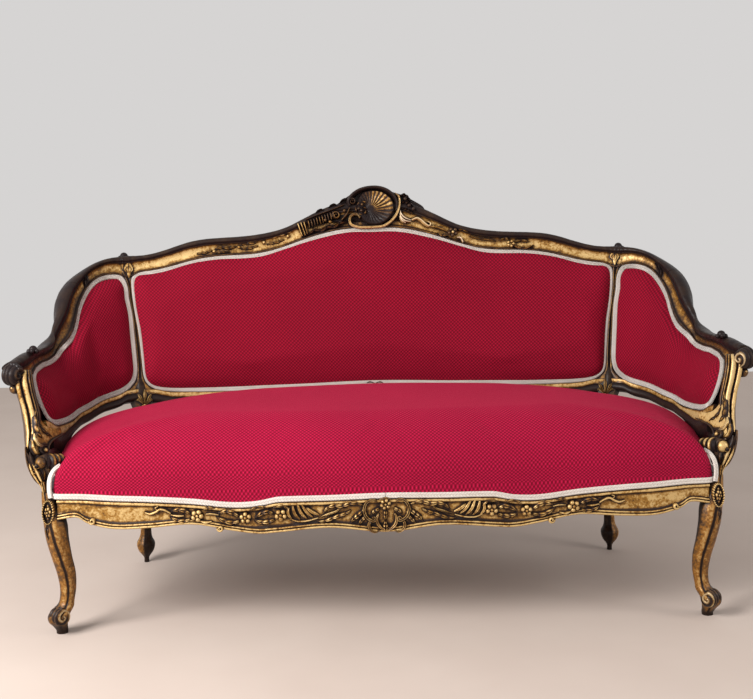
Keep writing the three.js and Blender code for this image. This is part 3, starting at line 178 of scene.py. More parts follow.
def weld(obj):
    """Joins vertices that meet and turns the faces outwards."""
    bm = bmesh.new()
    bm.from_mesh(obj.data)
    bmesh.ops.remove_doubles(bm, verts=bm.verts, dist=1e-5)
    bmesh.ops.recalc_face_normals(bm, faces=bm.faces)
    bm.to_mesh(obj.data)
    bm.free()
    shade_smooth(obj.data)


def tube_faces(m, k, start=0, turn=False):
    """Faces of m rings of k points each, with both ends closed."""
    i, j = np.meshgrid(np.arange(m - 1), np.arange(k), indexing="ij")
    a = start + i * k + j
    b = start + i * k + (j + 1) % k
    q = np.stack([a, b, b + k, a + k], -1).reshape(-1, 4)
    faces = q[:, ::-1].tolist() if turn else q.tolist()
    first, last = list(range(start, start + k)), list(range(start + (m - 1) * k, start + m * k))
    return faces + [first if turn else first[::-1], last[::-1] if turn else last]


def loop_faces(m, k, across):
    """Faces of m rings of k points that close on themselves, with this many strips across."""
    i, j = np.meshgrid(np.arange(m), np.arange(across), indexing="ij")
    a, b = i * k + j, i * k + (j + 1) % k
    c, d = ((i + 1) % m) * k + (j + 1) % k, ((i + 1) % m) * k + j
    return np.stack([a, b, c, d], -1).reshape(-1, 4)


def grid_faces(m, k, turn=False):
    """Faces of an open grid of m rows of k points."""
    i, j = np.meshgrid(np.arange(m - 1), np.arange(k - 1), indexing="ij")
    a = i * k + j
    q = np.stack([a, a + 1, a + k + 1, a + k], -1).reshape(-1, 4)
    return (q[:, ::-1] if turn else q).tolist()


def gilt_tube(name, rings, tones, material, replaced, turn=False):
    """A gilded piece from rings of points and the tone at each of them."""
    m, k = rings.shape[:2]
    return make(name, rings.reshape(-1, 3), tube_faces(m, k, turn=turn), material, replaced, np.ravel(tones))


# ---- materials --------------------------------------------------------------
def srgb(r, g, b):
    """Linear colour from levels of 0 to 255."""
    c = np.array([r, g, b]) / 255.
    return tuple(np.where(c <= .04045, c / 12.92, ((c + .055) / 1.055) ** 2.4)) + (1.,)


class Value:
    """A socket's value, for sums and products with other values or numbers."""

    def __init__(self, nodes, socket):
        self.nodes, self.socket = nodes, socket

    def __add__(self, other):
        return self.nodes.math("ADD", self, other)

    def __sub__(self, other):
        return self.nodes.math("SUBTRACT", self, other)

    def __mul__(self, other):
        return self.nodes.math("MULTIPLY", self, other)


class Nodes:
    """A material's nodes, added and linked in one call each."""

    def __init__(self, name):
        self.material = bpy.data.materials.new(name)
        self.material.use_nodes = True
        self.tree = self.material.node_tree
        self.bsdf = self.tree.nodes["Principled BSDF"]

    def add(self, kind, props=None, out=0, **inputs):
        """Adds a node, sets its properties and inputs, and gives one of its outputs."""
        node = self.tree.nodes.new(kind)
        for key, value in (props or {}).items():
            setattr(node, key, value)
        for key, value in inputs.items():
            self.put(node, key, value)
        return Value(self, node.outputs[out])

    def put(self, node, key, value):
        """Sets or links an input: i0, i1 and so on by number, any other by name."""
        names = {s.name.replace(" ", "_").lower(): s for s in reversed(node.inputs)}
        socket = node.inputs[int(key[1:])] if key[0] == "i" and key[1:].isdigit() else names[key.lower()]
        if isinstance(value, Value):
            self.tree.links.new(value.socket, socket)
        else:
            socket.default_value = value

    def math(self, operation, a, b=0., clamp=False):
        return self.add("ShaderNodeMath", {"operation": operation, "use_clamp": clamp}, i0=a, i1=b)

    def wave(self, value, pitch, operation="SINE"):
        return self.math(operation, value * (math.tau / pitch))

    def mix(self, factor, a, b):
        return self.add("ShaderNodeMix", {"data_type": "RGBA"}, 2, i0=factor, i6=a, i7=b)

    def ramp(self, value, *stops):
        """Colours by value; a stop is a place and a colour, a grey if it is one number."""
        colour = self.add("ShaderNodeValToRGB", i0=value)
        ramp = colour.socket.node.color_ramp
        while len(ramp.elements) < len(stops):
            ramp.elements.new(.5)
        for element, (place, tint) in zip(ramp.elements, stops):
            element.position = place
            element.color = (tint, tint, tint, 1.) if np.isscalar(tint) else srgb(*tint)
        return colour

    def noise(self, scale, detail=3., vector=None, rough=.5, distortion=0.):
        return self.add("ShaderNodeTexNoise", Scale=scale, Detail=detail, Roughness=rough, Distortion=distortion,
                        Vector=vector or self.place())

    def place(self):
        return self.add("ShaderNodeTexCoord", out="Object")

    def attribute(self, name, out):
        return self.add("ShaderNodeAttribute", {"attribute_name": name}, out)

    def split(self, vector):
        x = self.add("ShaderNodeSeparateXYZ", Vector=vector)
        return [Value(self, socket) for socket in x.socket.node.outputs]

    def bump(self, height, strength, distance):
        return self.add("ShaderNodeBump", Strength=strength, Distance=distance, Height=height)

    def surface(self, **inputs):
        for key, value in inputs.items():
            self.put(self.bsdf, key, value)
        return self.material


def gilt(name, gold=(154, 110, 42), dark=(32, 23, 23), shift=0., lift=1.):
    """Worn gilding: gold where the tone is high, near-black patina where it is low and in the hollows, and a pale
    painted highlight where the tone rises above 1.1.
    """
    n = Nodes(name)
    tone = n.attribute("tone", "Fac")
    big, mid = n.noise(11., 5., rough=.65), n.noise(52., 4., rough=.7)
    fine, speck = n.noise(170., 3., rough=.6), n.noise(430., 2.)
    wear = (big - .5) + (mid - .5) * 1.3 + (fine - .5)
    wear = wear * n.math("ADD", tone * .95, .12, clamp=True)
    hollow = n.add("ShaderNodeAmbientOcclusion", {"samples": 8}, "AO", Distance=.009)
    shade = (tone * 1.05 + wear + (hollow - .775) * 1.3 + (shift - .12)) * .94
    pale = [level + lift * step for level, step in zip(gold, (52, 64, 74))]
    colour = n.ramp(shade, (.20, dark), (.42, (54, 38, 27)), (.60, (92, 62, 29)), (.80, gold), (1., pale))
    # tones above 1.1 mix in a pale painted highlight
    bright = n.ramp(tone - 1.1, (.05, 0.), (.35, 1.))
    colour = n.mix(bright, colour, srgb(228, 206, 176))
    pits = n.ramp(speck, (.31, 1.), (.37, 0.))
    colour = n.mix(pits * .6, colour, srgb(44, 26, 19))
    return n.surface(base_color=colour, metallic=n.ramp(shade, (.4, 0.), (.85, .35 * lift)),
                     roughness=n.ramp(fine, (.3, .32), (.8, .52)),
                     specular_ior_level=n.ramp(shade, (.3, .17), (.8, .40)),
                     normal=n.bump(fine * .6 + speck * .4, .5, .0012))


def weave_material(name, bright, deep, pitch, sheen=.06):
    """Fabric with a small raised lozenge weave, threads and a soft sheen."""
    n = Nodes(name)
    place = n.attribute("weave", "Vector")
    along, across = n.split(place)[:2]
    wobble = (n.noise(14., 2., vector=place) - .5) * (pitch * .5)
    lozenge = n.wave(along + wobble, pitch) * n.wave(across - wobble, pitch) * .5 + .5
    thread = n.wave(along, THREAD) * n.wave(across, THREAD) * .5
    fuzz, slow = n.noise(900., 2., vector=place), n.noise(3.5, 3., vector=place)
    level = lozenge * .8 + (fuzz - .5) * .35 + (slow - .5) * .22
    middle = [(p + q) // 2 for p, q in zip(bright, deep)]
    colour = n.ramp(level, (.12, deep), (.55, middle), (.85, bright))
    return n.surface(base_color=colour, roughness=.8, sheen_weight=sheen, sheen_roughness=.4,
                     sheen_tint=srgb(255, 90, 120), specular_ior_level=.12,
                     normal=n.bump(lozenge + thread * .1 + fuzz * .12, .9, .0016))


def braid_material(name):
    """Off-white gimp with two rows of small ribs."""
    n = Nodes(name)
    place = n.attribute("weave", "Vector")
    along, across = n.split(place)[:2]
    ribs = n.wave(along + n.math("ABSOLUTE", across) * .5, BRAID_RIB) * .5 + .5
    rows = n.wave(across, BRAID_ROW, "COSINE") * .5 + .5
    fuzz, soil = n.noise(1500., 2., vector=place), n.noise(16., 3.)
    level = ribs * .55 + fuzz * .3 + (soil - .5) * .4 - rows * .12
    colour = n.ramp(level, (.05, (182, 170, 158)), (.40, (222, 214, 206)), (.8, (240, 235, 229)))
    return n.surface(base_color=colour, roughness=.85, sheen_weight=.2, sheen_roughness=.5,
                     specular_ior_level=.25, normal=n.bump(ribs + fuzz * .25, .8, .0012))


def plain_fabric(name, colour, deep, pitch=.0016):
    """Plain close weave for the outside and the straps."""
    n = Nodes(name)
    x, y, z = n.split(n.place())
    weave = n.wave(x + y * .8, pitch) * n.wave(z, pitch)
    fuzz, slow = n.noise(700., 2.), n.noise(5., 3.)
    tint = n.ramp(weave * .2 + fuzz * .5 + slow * .45, (.2, deep), (.8, colour))
    return n.surface(base_color=tint, roughness=.85, sheen_weight=.2, sheen_roughness=.5,
                     specular_ior_level=.25, normal=n.bump(weave + fuzz, .6, .0006))


def timber(name):
    """Planed beech with fine grain."""
    n = Nodes(name)
    stretched = n.add("ShaderNodeMapping", Vector=n.place(), Scale=(3., 3., 40.))
    level = n.noise(6., 5., vector=stretched, rough=.6, distortion=.6) * .8 + n.noise(260., 2.) * .2
    colour = n.ramp(level, (.3, (120, 84, 50)), (.7, (182, 140, 94)))
    return n.surface(base_color=colour, roughness=.6, specular_ior_level=.35, normal=n.bump(level, .35, .0008))


def wire_material(name):
    """Coppered spring steel, a little tarnished."""
    n = Nodes(name)
    spots = n.noise(90., 3.)
    return n.surface(base_color=n.ramp(spots, (.35, (96, 66, 48)), (.65, (160, 128, 104))), metallic=.85,
                     roughness=n.ramp(spots, (.3, .5), (.7, .3)))


# Distances of the threads, and of the ribs and rows of the gimp
THREAD, BRAID_RIB, BRAID_ROW = .0011, .0034, .0052
GILT = gilt("worn_gilding")
GILT_DARK = gilt("dark_gilding", gold=(120, 84, 36), dark=(31, 23, 24), shift=-.10)
GILT_LEG = gilt("leg_gilding", gold=(134, 86, 22), dark=(30, 18, 12), shift=-.26, lift=.8)
SEAT_FABRIC = weave_material("crimson_weave", (202, 24, 74), (112, 3, 32), .0095, sheen=.22)
# the back and side covers use a darker copy of the seat's crimson: painted shade
BACK_FABRIC_PAINTED_SHADE = weave_material("crimson_weave_back", (172, 12, 48), (96, 2, 24), .0100)
BRAID = braid_material("gimp_braid")
LINING = plain_fabric("crimson_lining", (128, 16, 44), (84, 8, 28))
JUTE = plain_fabric("jute_straps", (172, 142, 100), (110, 84, 54), .004)
BEECH = timber("planed_beech")
WIRE = wire_material("spring_wire")


# ---- frame rails on the back surface ----------------------------------------
# Rows across the crest and arms, from the middle outwards: place of the inner edge, then of the outer edge
CREST = [(0, .899, 0, 1.048), (.248, .917, .244, 1.076), (.462, .933, .47, 1.094), (.73, .946, .747, 1.081),
         (.965, .938, .993, 1.055), (1.22, .919, 1.224, 1.048), (1.456, .917, 1.458, 1.046),
         (1.784, .93, 1.763, 1.054), (2.138, .931, 2.126, 1.067), (2.432, .916, 2.416, 1.045),
         (2.677, .917, 2.676, 1.038), (2.866, .926, 2.87, 1.05), (2.988, .903, 2.99, 1.062)]
OVER_POST = [(3.08, .905, 3.1, 1.066), (3.155, .912, 3.19, 1.068)]
SHOULDER = [(3.169, .916, 3.217, 1.068), (3.331, .939, 3.441, 1.068), (3.676, .935, 3.772, 1.057),
            (4, .912, 4.158, 1.046), (4.255, .867, 4.63, 1.064)]
ARM = [(4.462, .812, 4.932, 1.046), (4.606, .733, 5.242, .988), (4.778, .680, 5.666, 1.012),
       (5.145, .655, 6.143, 1.098), (6.058, .84, 6.408, 1.094), (6.6, .885, 6.731, 1.109),
       (7.029, .925, 7.192, 1.138), (7.4, .92, 7.45, 1.146), (7.705, .914, 7.85, 1.15), (8.094, .85, 8.35, 1.145)]
ARM_FRONT = [(8.5, .88, 8.78, 1.13), (8.74, .886, 9.0, 1.13)]
ROWS = np.array(CREST + OVER_POST + SHOULDER + ARM + ARM_FRONT, float)
ALL_ROWS = whole(ROWS, (-1, 1, -1, 1))
MID_ROW = len(ROWS) - 1
# Rows at which the pieces end, the rows over which the section turns into the arm's, and the bend of the side
POST_END, SHOULDER_END, ARM_END = 14, 19, len(ROWS) - 1
BLEND_START, BLEND_END, SIDE_BEND = 15., 20.5, 17.6

# Section of the rails: place across, rise in millimetres, tone of the gilding
CREST_SECTION = np.array([(-.25, -21, .2), (-.25, -1, .2), (0, -1, .15), (0, 9.0, .3), (.015, 10.8, .4),
                          (.045, 11.6, .5), (.08, 10.8, .25), (.095, 8.6, .1), (.11, 7.2, .3), (.15, 6.4, .75),
                          (.22, 5.8, .92), (.32, 5.6, 1), (.42, 5.8, 1), (.52, 6.8, .95), (.585, 8.6, .85),
                          (.62, 10.6, .55), (.635, 12.8, .35), (.66, 13.8, .3), (.685, 13.2, .05), (.70, 14.6, .05),
                          (.73, 17.2, .12), (.79, 18.6, .16), (.87, 18.2, .18), (.94, 15.2, .14), (.985, 9.5, .1),
                          (1.005, 2, .08), (1.008, -8, .06), (.985, -17, .06), (.93, -22.5, .08), (.84, -24, .1),
                          (.5, -24, .15), (.2, -24, .15), (.2, -21, .15)], float)
ARM_SECTION = np.array([(-.25, -21, .2), (-.25, -1, .2), (0, -1, .12), (0, 9.0, .2), (.015, 10.8, .3),
                        (.05, 11.4, .35), (.09, 10.4, .12), (.105, 8.2, .05), (.12, 7.0, .25), (.16, 6.2, .55),
                        (.21, 5.8, .62), (.27, 5.8, .66), (.33, 6.4, .6), (.39, 7.8, .5), (.425, 9.8, .3),
                        (.445, 11.8, .2), (.455, 13.2, .2), (.475, 13.8, .16), (.5, 13.0, .0), (.52, 14.2, .0),
                        (.58, 18.6, .05), (.67, 21.4, .1), (.78, 21.6, .12), (.88, 17.8, .1), (.96, 10.5, .08),
                        (1.0, 1.5, .06), (1.005, -8, .05), (.985, -17, .05), (.93, -22.5, .06), (.84, -24, .1),
                        (.5, -24, .12), (.2, -24, .12), (.2, -21, .12)], float)


def smooth_step(x, low, high):
    t = np.clip((np.asarray(x, float) - low) / (high - low), 0, 1)
    return t * t * (3 - 2 * t)


def rail_rows(q):
    """Edge places of the crest and arms, q rows from the centre, a little rounded off."""
    q = np.asarray(q, float) + MID_ROW
    reach = np.minimum(.7, np.minimum(q, 2 * MID_ROW - q))
    return .64 * catmull(ALL_ROWS, q) + .18 * (catmull(ALL_ROWS, q - reach) + catmull(ALL_ROWS, q + reach))


def between_edges(rows, share):
    """Places on the surface at shares of the way between the two edges in each row."""
    rows = rows[:, None]
    return rows[..., 0] + (rows[..., 2] - rows[..., 0]) * share, rows[..., 1] + (rows[..., 3] - rows[..., 1]) * share


def rail(name, start, end, replaced):
    q = np.linspace(start, end, max(int(abs(end - start) * 8), 8))
    blend = smooth_step(np.abs(q), BLEND_START, BLEND_END)[:, None, None]
    section = CREST_SECTION[None] * (1 - blend) + ARM_SECTION[None] * blend
    turn = np.exp(-((np.abs(q) - SIDE_BEND) / 1.5) ** 2)[:, None]
    section[..., 0] *= 1 - .10 * turn * smooth_step(section[..., 0], .6, .9)
    u, h = between_edges(rail_rows(q), section[..., 0])
    # slight unevenness of the carver's hand
    wobble = .0004 * np.sin(q * 9.1)[:, None] + .0003 * np.sin(q[:, None] * 23.7 + section[..., 0] * 9)
    points = off(u, h, section[..., 1] / 1000 + wobble)
    gilt_tube(name, points, section[..., 2] * .84 + .04 * np.sin(q * 5.3)[:, None], GILT, replaced)


rail("crest_rail_carved", -POST_END, POST_END, ["crest_rail"])
for side, tag in SIDES:
    rail("shoulder_rail_carved_" + tag, side * (POST_END + .03), side * SHOULDER_END, ["shoulder_rail_" + tag])
    rail("arm_rail_carved_" + tag, side * (SHOULDER_END + .02), side * ARM_END, ["arm_rail_" + tag])

# ---- panels -----------------------------------------------------------------
# Edges of the panels as places on the surface
BACK_FOOT = [(0, 0), (.909, -.001), (1.582, .009), (2.067, .021), (2.57, .039), (2.811, .067), (2.935, .115)]
BACK_SIDE = [(2.935, .115), (2.978, .171), (2.976, .295), (2.979, .494), (3.015, .669), (3.017, .846), (2.988, .903)]
SIDE_FOOT = [(3.163, .129), (3.369, .078), (3.588, .055), (4.065, .039), (4.616, .012), (5.118, .005), (5.984, -.011),
             (7.339, .114), (7.985, .255)]
SIDE_REAR = [(3.163, .129), (3.092, .209), (3.078, .292), (3.072, .478), (3.066, .638), (3.103, .747), (3.091, .833),
             (3.169, .916)]
SIDE_FRONT = [(7.985, .255), (8.221, .439), (8.259, .638), (8.094, .85)]
CREST_EDGE = [r[:2] for r in CREST]
SIDE_TOP = [r[:2] for r in SHOULDER + ARM]


def mirrored(rows):
    """An edge that starts at the middle, with its mirror image before it."""
    return [(-u, h) for u, h in rows[:0:-1]] + list(rows)


class Panel:
    """A patch of the back surface between four smooth edges."""

    def __init__(self, foot, head, left, right):
        self.edges = [np.array(e, float) for e in (foot, head, left, right)]

    def edge(self, i, share):
        e = self.edges[i]
        return catmull(e, np.asarray(share) * (len(e) - 1))

    def at(self, s, t):
        s, t = np.broadcast_arrays(np.asarray(s, float), np.asarray(t, float))
        foot, head, left, right = self.edge(0, s), self.edge(1, s), self.edge(2, t), self.edge(3, t)
        f0, f1, h0, h1 = self.edges[0][0], self.edges[0][-1], self.edges[1][0], self.edges[1][-1]
        s, t = s[..., None], t[..., None]
        return ((1 - t) * foot + t * head + (1 - s) * left + s * right
                - (1 - t) * ((1 - s) * f0 + s * f1) - t * ((1 - s) * h0 + s * h1))

    def spans(self, s, t):
        """Width and height of the patch at shares s and t, in metres."""
        def length(a, b):
            a, b = self.at(*a), self.at(*b)
            return np.linalg.norm(surf(a[..., 0], a[..., 1]) - surf(b[..., 0], b[..., 1]), axis=-1)

        zero, one = np.zeros_like(s), np.ones_like(s)
        return length((zero, t), (one, t)), length((s, zero), (s, one))

    def inset(self, s, t, distance):
        """The patch drawn in from its edges by a distance, at shares s and t."""
        wide, high = self.spans(s, t)
        a, b = distance / wide, distance / high
        return self.at(a + (1 - 2 * a) * s, b + (1 - 2 * b) * t)


back_panel = Panel(mirrored(BACK_FOOT), mirrored(CREST_EDGE), [(-u, h) for u, h in BACK_SIDE], BACK_SIDE)
side_panel = Panel(SIDE_FOOT, SIDE_TOP, SIDE_REAR, SIDE_FRONT)


def panel_grid(panel, m, k, crown, reach):
    """Points of a stuffed cover with its places on the surface; crown is how far it rises, reach how soon."""
    s, t = np.meshgrid(np.linspace(0, 1, m), np.linspace(0, 1, k), indexing="ij")
    uv = panel.inset(s, t, COVER_INSET)
    wide, high = panel.spans(s, t)

    def soft(share, span):
        d = np.maximum(np.minimum(share, 1 - share) * (span - 2 * COVER_INSET) + COVER_INSET - COVER_LIP, 0)
        return 1 - (1 - np.minimum(d / reach, 1)) ** 2.5

    return off(uv[..., 0], uv[..., 1], COVER_BASE + crown * soft(s, wide) * soft(t, high)), uv


def run_length(points):
    """Length along a line of points up to each of them."""
    return np.concatenate([[0], np.cumsum(np.linalg.norm(np.diff(points, axis=0), axis=1))])


CLOTH_FRAMES = 18
ARC_U = np.linspace(-9, 9, 721)
ARC_LEN = run_length(surf(ARC_U, np.full(len(ARC_U), .5)))
# The inner covers: how far inside the panel's edge they start, the flat lip there, its rise, and the cloth
COVER_INSET, COVER_LIP, COVER_BASE, COVER_THICKNESS = .004, .0138, .0036, .0012


def back_weave(points, u):
    """Weave places of a cover: round the plan, and up."""
    along = np.interp(u, ARC_U, ARC_LEN)
    return np.stack([along, points[..., 2] * 1.06, np.zeros_like(along)], -1)


def puff(obj, pinned, pressure, cap):
    """Runs cloth under a little pressure, with the edge pinned, and keeps moves of up to cap metres."""
    scene = bpy.context.scene
    mesh = obj.data
    before = np.empty(len(mesh.vertices) * 3)
    mesh.vertices.foreach_get("co", before)
    group = obj.vertex_groups.new(name="pinned")
    group.add([int(i) for i in pinned], 1., "REPLACE")
    cloth = obj.modifiers.new("cloth", "CLOTH")
    cs = cloth.settings
    cs.quality = 4
    cs.mass = .4
    cs.tension_stiffness = cs.compression_stiffness = 12.
    cs.shear_stiffness = 4.8
    cs.bending_stiffness = 1.5
    cs.vertex_group_mass = "pinned"
    cs.use_pressure = True
    cs.uniform_pressure_force = pressure
    cs.effector_weights.gravity = 0.
    cloth.collision_settings.use_collision = False
    cloth.collision_settings.use_self_collision = False
    cloth.point_cache.frame_start, cloth.point_cache.frame_end = 1, CLOTH_FRAMES
    for f in range(1, CLOTH_FRAMES + 1):
        scene.frame_set(f)
    posed = obj.evaluated_get(bpy.context.evaluated_depsgraph_get())
    after = np.empty(len(mesh.vertices) * 3)
    posed.data.vertices.foreach_get("co", after)
    obj.modifiers.remove(cloth)
    obj.vertex_groups.remove(group)
    scene.frame_set(1)
    move = (after - before).reshape(-1, 3)
    size = np.linalg.norm(move, axis=1, keepdims=True)
    move *= np.minimum(1, cap / np.maximum(size, 1e-9))
    mesh.vertices.foreach_set("co", (before.reshape(-1, 3) + move).ravel())
    mesh.update()


def thicken(obj, thickness):
    mod = obj.modifiers.new("thickness", "SOLIDIFY")
    mod.thickness, mod.offset = thickness, -1.


def upholster(obj, pinned, pressure, cap):
    """Puffs a cover up, rounds it and gives it the cloth's thickness."""
    puff(obj, pinned, pressure, cap)
    mod = obj.modifiers.new("smooth", "SUBSURF")
    mod.levels = mod.render_levels = 1
    mod.boundary_smooth = "PRESERVE_CORNERS"
    thicken(obj, COVER_THICKNESS)


def rim(m, k):
    """Numbers of the vertices on the edge of a grid."""
    idx = np.arange(m * k).reshape(m, k)
    return np.unique(np.concatenate([idx[0], idx[-1], idx[:, 0], idx[:, -1]]))


def soft_panel(name, panel, side, m, k, crown, reach, replaced, cap):
    """The stuffed inner cover of a panel."""
    points, uv = panel_grid(panel, m, k, crown, reach)
    weave = back_weave(points, uv[..., 0]) * (side, 1, 1)
    points = points * (side, 1, 1)
    obj = make(name, points.reshape(-1, 3), grid_faces(m, k, turn=side > 0), BACK_FABRIC_PAINTED_SHADE, replaced,
               weave=weave.reshape(-1, 3))
    upholster(obj, rim(m, k), .35, cap)


soft_panel("back_cover_padded", back_panel, 1, 108, 38, .030, .11, ["back_cover", "back_stuffing", "back_webbing"],
           .008)
for side, tag in SIDES:
    soft_panel("side_cover_padded_" + tag, side_panel, side, 52, 34, .024, .075,
               ["side_cover_" + tag, "side_stuffing_" + tag, "side_webbing_" + tag], .006)


def outer_panel(name, panel, side, m, k, replaced):
    """The nearly flat cover on the outside of a panel."""
    s, t = np.meshgrid(np.linspace(0, 1, m), np.linspace(0, 1, k), indexing="ij")
    uv = panel.inset(s, t, .0022)
    bow = .003 * np.sin(np.pi * s) ** .6 * np.sin(np.pi * t) ** .6
    points = off(uv[..., 0], uv[..., 1], -RAIL_BACK + .0020 - bow) * (side, 1, 1)
    thicken(make(name, points.reshape(-1, 3), grid_faces(m, k, turn=side > 0), LINING, replaced), .0011)


outer_panel("back_outside_cover", back_panel, 1, 60, 16, ["back_outer_cover"])
for side, tag in SIDES:
    outer_panel("side_outside_cover_" + tag, side_panel, side, 40, 14, ["side_outer_cover_" + tag])


# ---- gimp -------------------------------------------------------------------
def even_loop(points, spacing):
    """Points at even distances round a closed line, with the length up to each of them."""
    closed = np.vstack([points, points[:1]])
    run = run_length(closed)
    at = np.linspace(0, run[-1], int(run[-1] / spacing), endpoint=False)
    return np.stack([np.interp(at, run, closed[:, i]) for i in range(points.shape[1])], -1), at


GIMP_SECTION = np.array([(-6.4, -1.), (-6.3, 2.2), (-5.2, 3.2), (-3.4, 3.7), (-1.4, 3.5), (0, 3.0), (1.4, 3.5),
                         (3.4, 3.7), (5.2, 3.2), (6.3, 2.2), (6.4, -1.)]) / 1000


def band(name, points, normals, inward, at, replaced, section=GIMP_SECTION):
    """A gimp along a closed line."""
    n, k = len(points), len(section)
    verts = (points[:, None] + inward[:, None] * section[None, :, :1] + normals[:, None] * section[None, :, 1:])
    weave = np.zeros((n, k, 3))
    weave[..., 0] = at[:, None]
    weave[..., 1] = section[None, :, 0]
    make(name, verts.reshape(-1, 3), loop_faces(n, k, k), BRAID, replaced, weave=weave.reshape(-1, 3))


def panel_gimp(name, rows, side, replaced):
    """The gimp round a panel, along the rows of its edge."""
    rows = np.array(rows, float)
    uv = closed_catmull(rows, np.arange(0, len(rows), .05))
    uv = .64 * uv + .18 * (np.roll(uv, 13, 0) + np.roll(uv, -13, 0))
    uv, _ = even_loop(uv, .01)
    points = surf(uv[:, 0], uv[:, 1])
    fine, at = even_loop(np.hstack([points, uv]), .004)
    points, uv = fine[:, :3], fine[:, 3:]
    normals = surf_normal(uv[:, 0], uv[:, 1])
    along = unit(np.roll(points, -1, 0) - np.roll(points, 1, 0))
    for _ in range(3):
        along = unit(along + np.roll(along, 1, 0) + np.roll(along, -1, 0))
    inward = unit(np.cross(normals, along))
    middle = points.mean(0)
    if np.einsum("ij,ij->i", inward, middle - points).mean() < 0:
        inward = -inward
    # it lies on the cover's edge, a little further in and out under the middle of the crest
    top = np.exp(-(uv[:, :1] / 1.5) ** 2) * (uv[:, 1:] > .5)
    points = points + inward * (.0058 + .0008 * top) + normals * (.0058 + .0010 * top)
    flip = np.array([side, 1, 1])
    band(name, points * flip, normals * flip, inward * flip, at, replaced, GIMP_SECTION * (1.08, 1.))


right_half = BACK_FOOT + BACK_SIDE[1:] + CREST_EDGE[::-1][1:]
back_rows = right_half + [(-u, h) for u, h in right_half[::-1][1:-1]]
side_rows = SIDE_FOOT + SIDE_FRONT[1:] + SIDE_TOP[::-1][1:] + SIDE_REAR[::-1][1:-1]
panel_gimp("back_gimp_braid", back_rows, 1, ["back_gimp"])
for side, tag in SIDES:
    panel_gimp("side_gimp_braid_" + tag, side_rows, side, ["side_gimp_" + tag])


# ---- seat frame -------------------------------------------------------------
# Rows of x, y, fabric edge and bottom, in shares of the driving sizes
FRONT = [(0, -.4813, .329, .25), (.144, -.4775, .326, .262), (.278, -.467, .323, .252), (.333, -.462, .313, .249),
         (.4, -.4565, .311, .257), (.5, -.4495, .32, .272), (.61, -.443, .326, .265), (.7, -.437, .329, .263),
         (.767, -.4285, .332, .275), (.8, -.424, .333, .29), (.85, -.4175, .333, .284), (.88, -.412, .333, .28)]
SIDE = [(.88, -.412, .333, .28), (.895, -.38, .331, .284), (.897, -.33, .331, .284), (.901, -.26, .331, .288),
        (.903, -.16, .331, .292), (.901, -.04, .331, .292), (.887, .08, .331, .29), (.855, .18, .331, .286),
        (.805, .255, .331, .284), (.735, .315, .331, .284)]
REAR = [(.72, .325, .331, .28), (.62, .343, .331, .28), (.444, .36, .331, .28), (.222, .373, .331, .28),
        (0, .377, .331, .28)]
# Top and bottom of the rails inside, and the fabric edge at the sides and the rear
SEAT_TOP, INNER_BOTTOM, REAR_EDGE = .346, .284, .331
RAIL_END = .79  # how far out picture points are placed on the front rail


def metres(rows):
    return np.array(rows, float) * (HALF, DEPTH, HEIGHT, HEIGHT) + (0, SHIFT[1], 0, 0)


FRONT_M = metres(FRONT)
FRONT_ALL = whole(FRONT_M, (-1, 1, 1, 1))


def front_face(x):
    """Depth place, fabric edge and bottom of the front rail at x."""
    return catmull(FRONT_ALL, np.interp(x, FRONT_ALL[:, 0], np.arange(len(FRONT_ALL))))


# Offsets outwards in millimetres, with heights from the bottom or the top edge, and the tone
RAIL_LOW = [(18, 0, .1), (1.5, 0, .1), (-1.6, .4, .4), (-3.6, 1.6, .9), (-4.2, 3.4, 1), (-3.4, 5.2, .9),
            (-1.4, 6.2, .5), (-.6, 6.9, .0), (-1.8, 7.4, .3), (-3.0, 8.6, .8), (-3.2, 10, .85), (-2.4, 11.4, .7),
            (-.6, 12.4, .2), (1.1, 13.6, .05)]
RAIL_HIGH = [(1.4, 10.5, .35), (.3, 9.2, .25), (-1.2, 8.4, .5), (-2.2, 6.6, .85), (-2.2, 4.6, .95), (-1.6, 2.8, .8),
             (-.4, 1.4, .5), (.6, .6, .2)]


def seat_rail(name, rows, replaced, material, steps, carved=True):
    """A seat rail along rows of x, y, fabric edge and bottom, with a rebate for the seat inside."""
    line = catmull(rows, np.linspace(0, len(rows) - 1, steps))
    along = unit(np.gradient(line[:, :2], axis=0))
    inward = np.stack([-along[:, 1], along[:, 0]], -1)
    middle = np.array([0., SHIFT[1]])
    turn = np.sign(np.einsum("ij,ij->i", inward, middle - line[:, :2]).sum())
    inward *= turn
    rings, tones = [], []
    for (x, y, top, low), n in zip(line, inward):
        top -= .0003
        inner = max(INNER_BOTTOM, low)
        section = []
        if carved:
            section += [(o, low + z / 1000, t) for o, z, t in RAIL_LOW]
            section += [(1.7, low + (top - low) * s, .72) for s in (.3, .45, .6, .75)]
            section += [(o, top - z / 1000, t) for o, z, t in RAIL_HIGH]
        else:
            section += [(18, low, .3), (1, low, .3), (-1, low + .001, .4), (-1.4, low + .003, .45)]
            section += [(0, low + .008, .4), (0, top - .008, .4), (-.6, top - .004, .5), (0, top - .0006, .4)]
        section += [(5, top, .1), (5, SEAT_TOP, .1), (34, SEAT_TOP, .1), (34, inner, .1), (18, inner, .1)]
        section = np.array(section)
        plan = np.array([x, y]) + n * section[:, :1] / 1000
        rings.append(np.column_stack([plan, section[:, 1]]))
        tones.append(section[:, 2])
    gilt_tube(name, np.array(rings), tones, material, replaced, turn < 0)


seat_rail("front_rail_carved", FRONT_ALL[1:-1], ["front_seat_rail"], GILT, 300)
SIDE_M, REAR_M = metres(SIDE), metres(REAR)
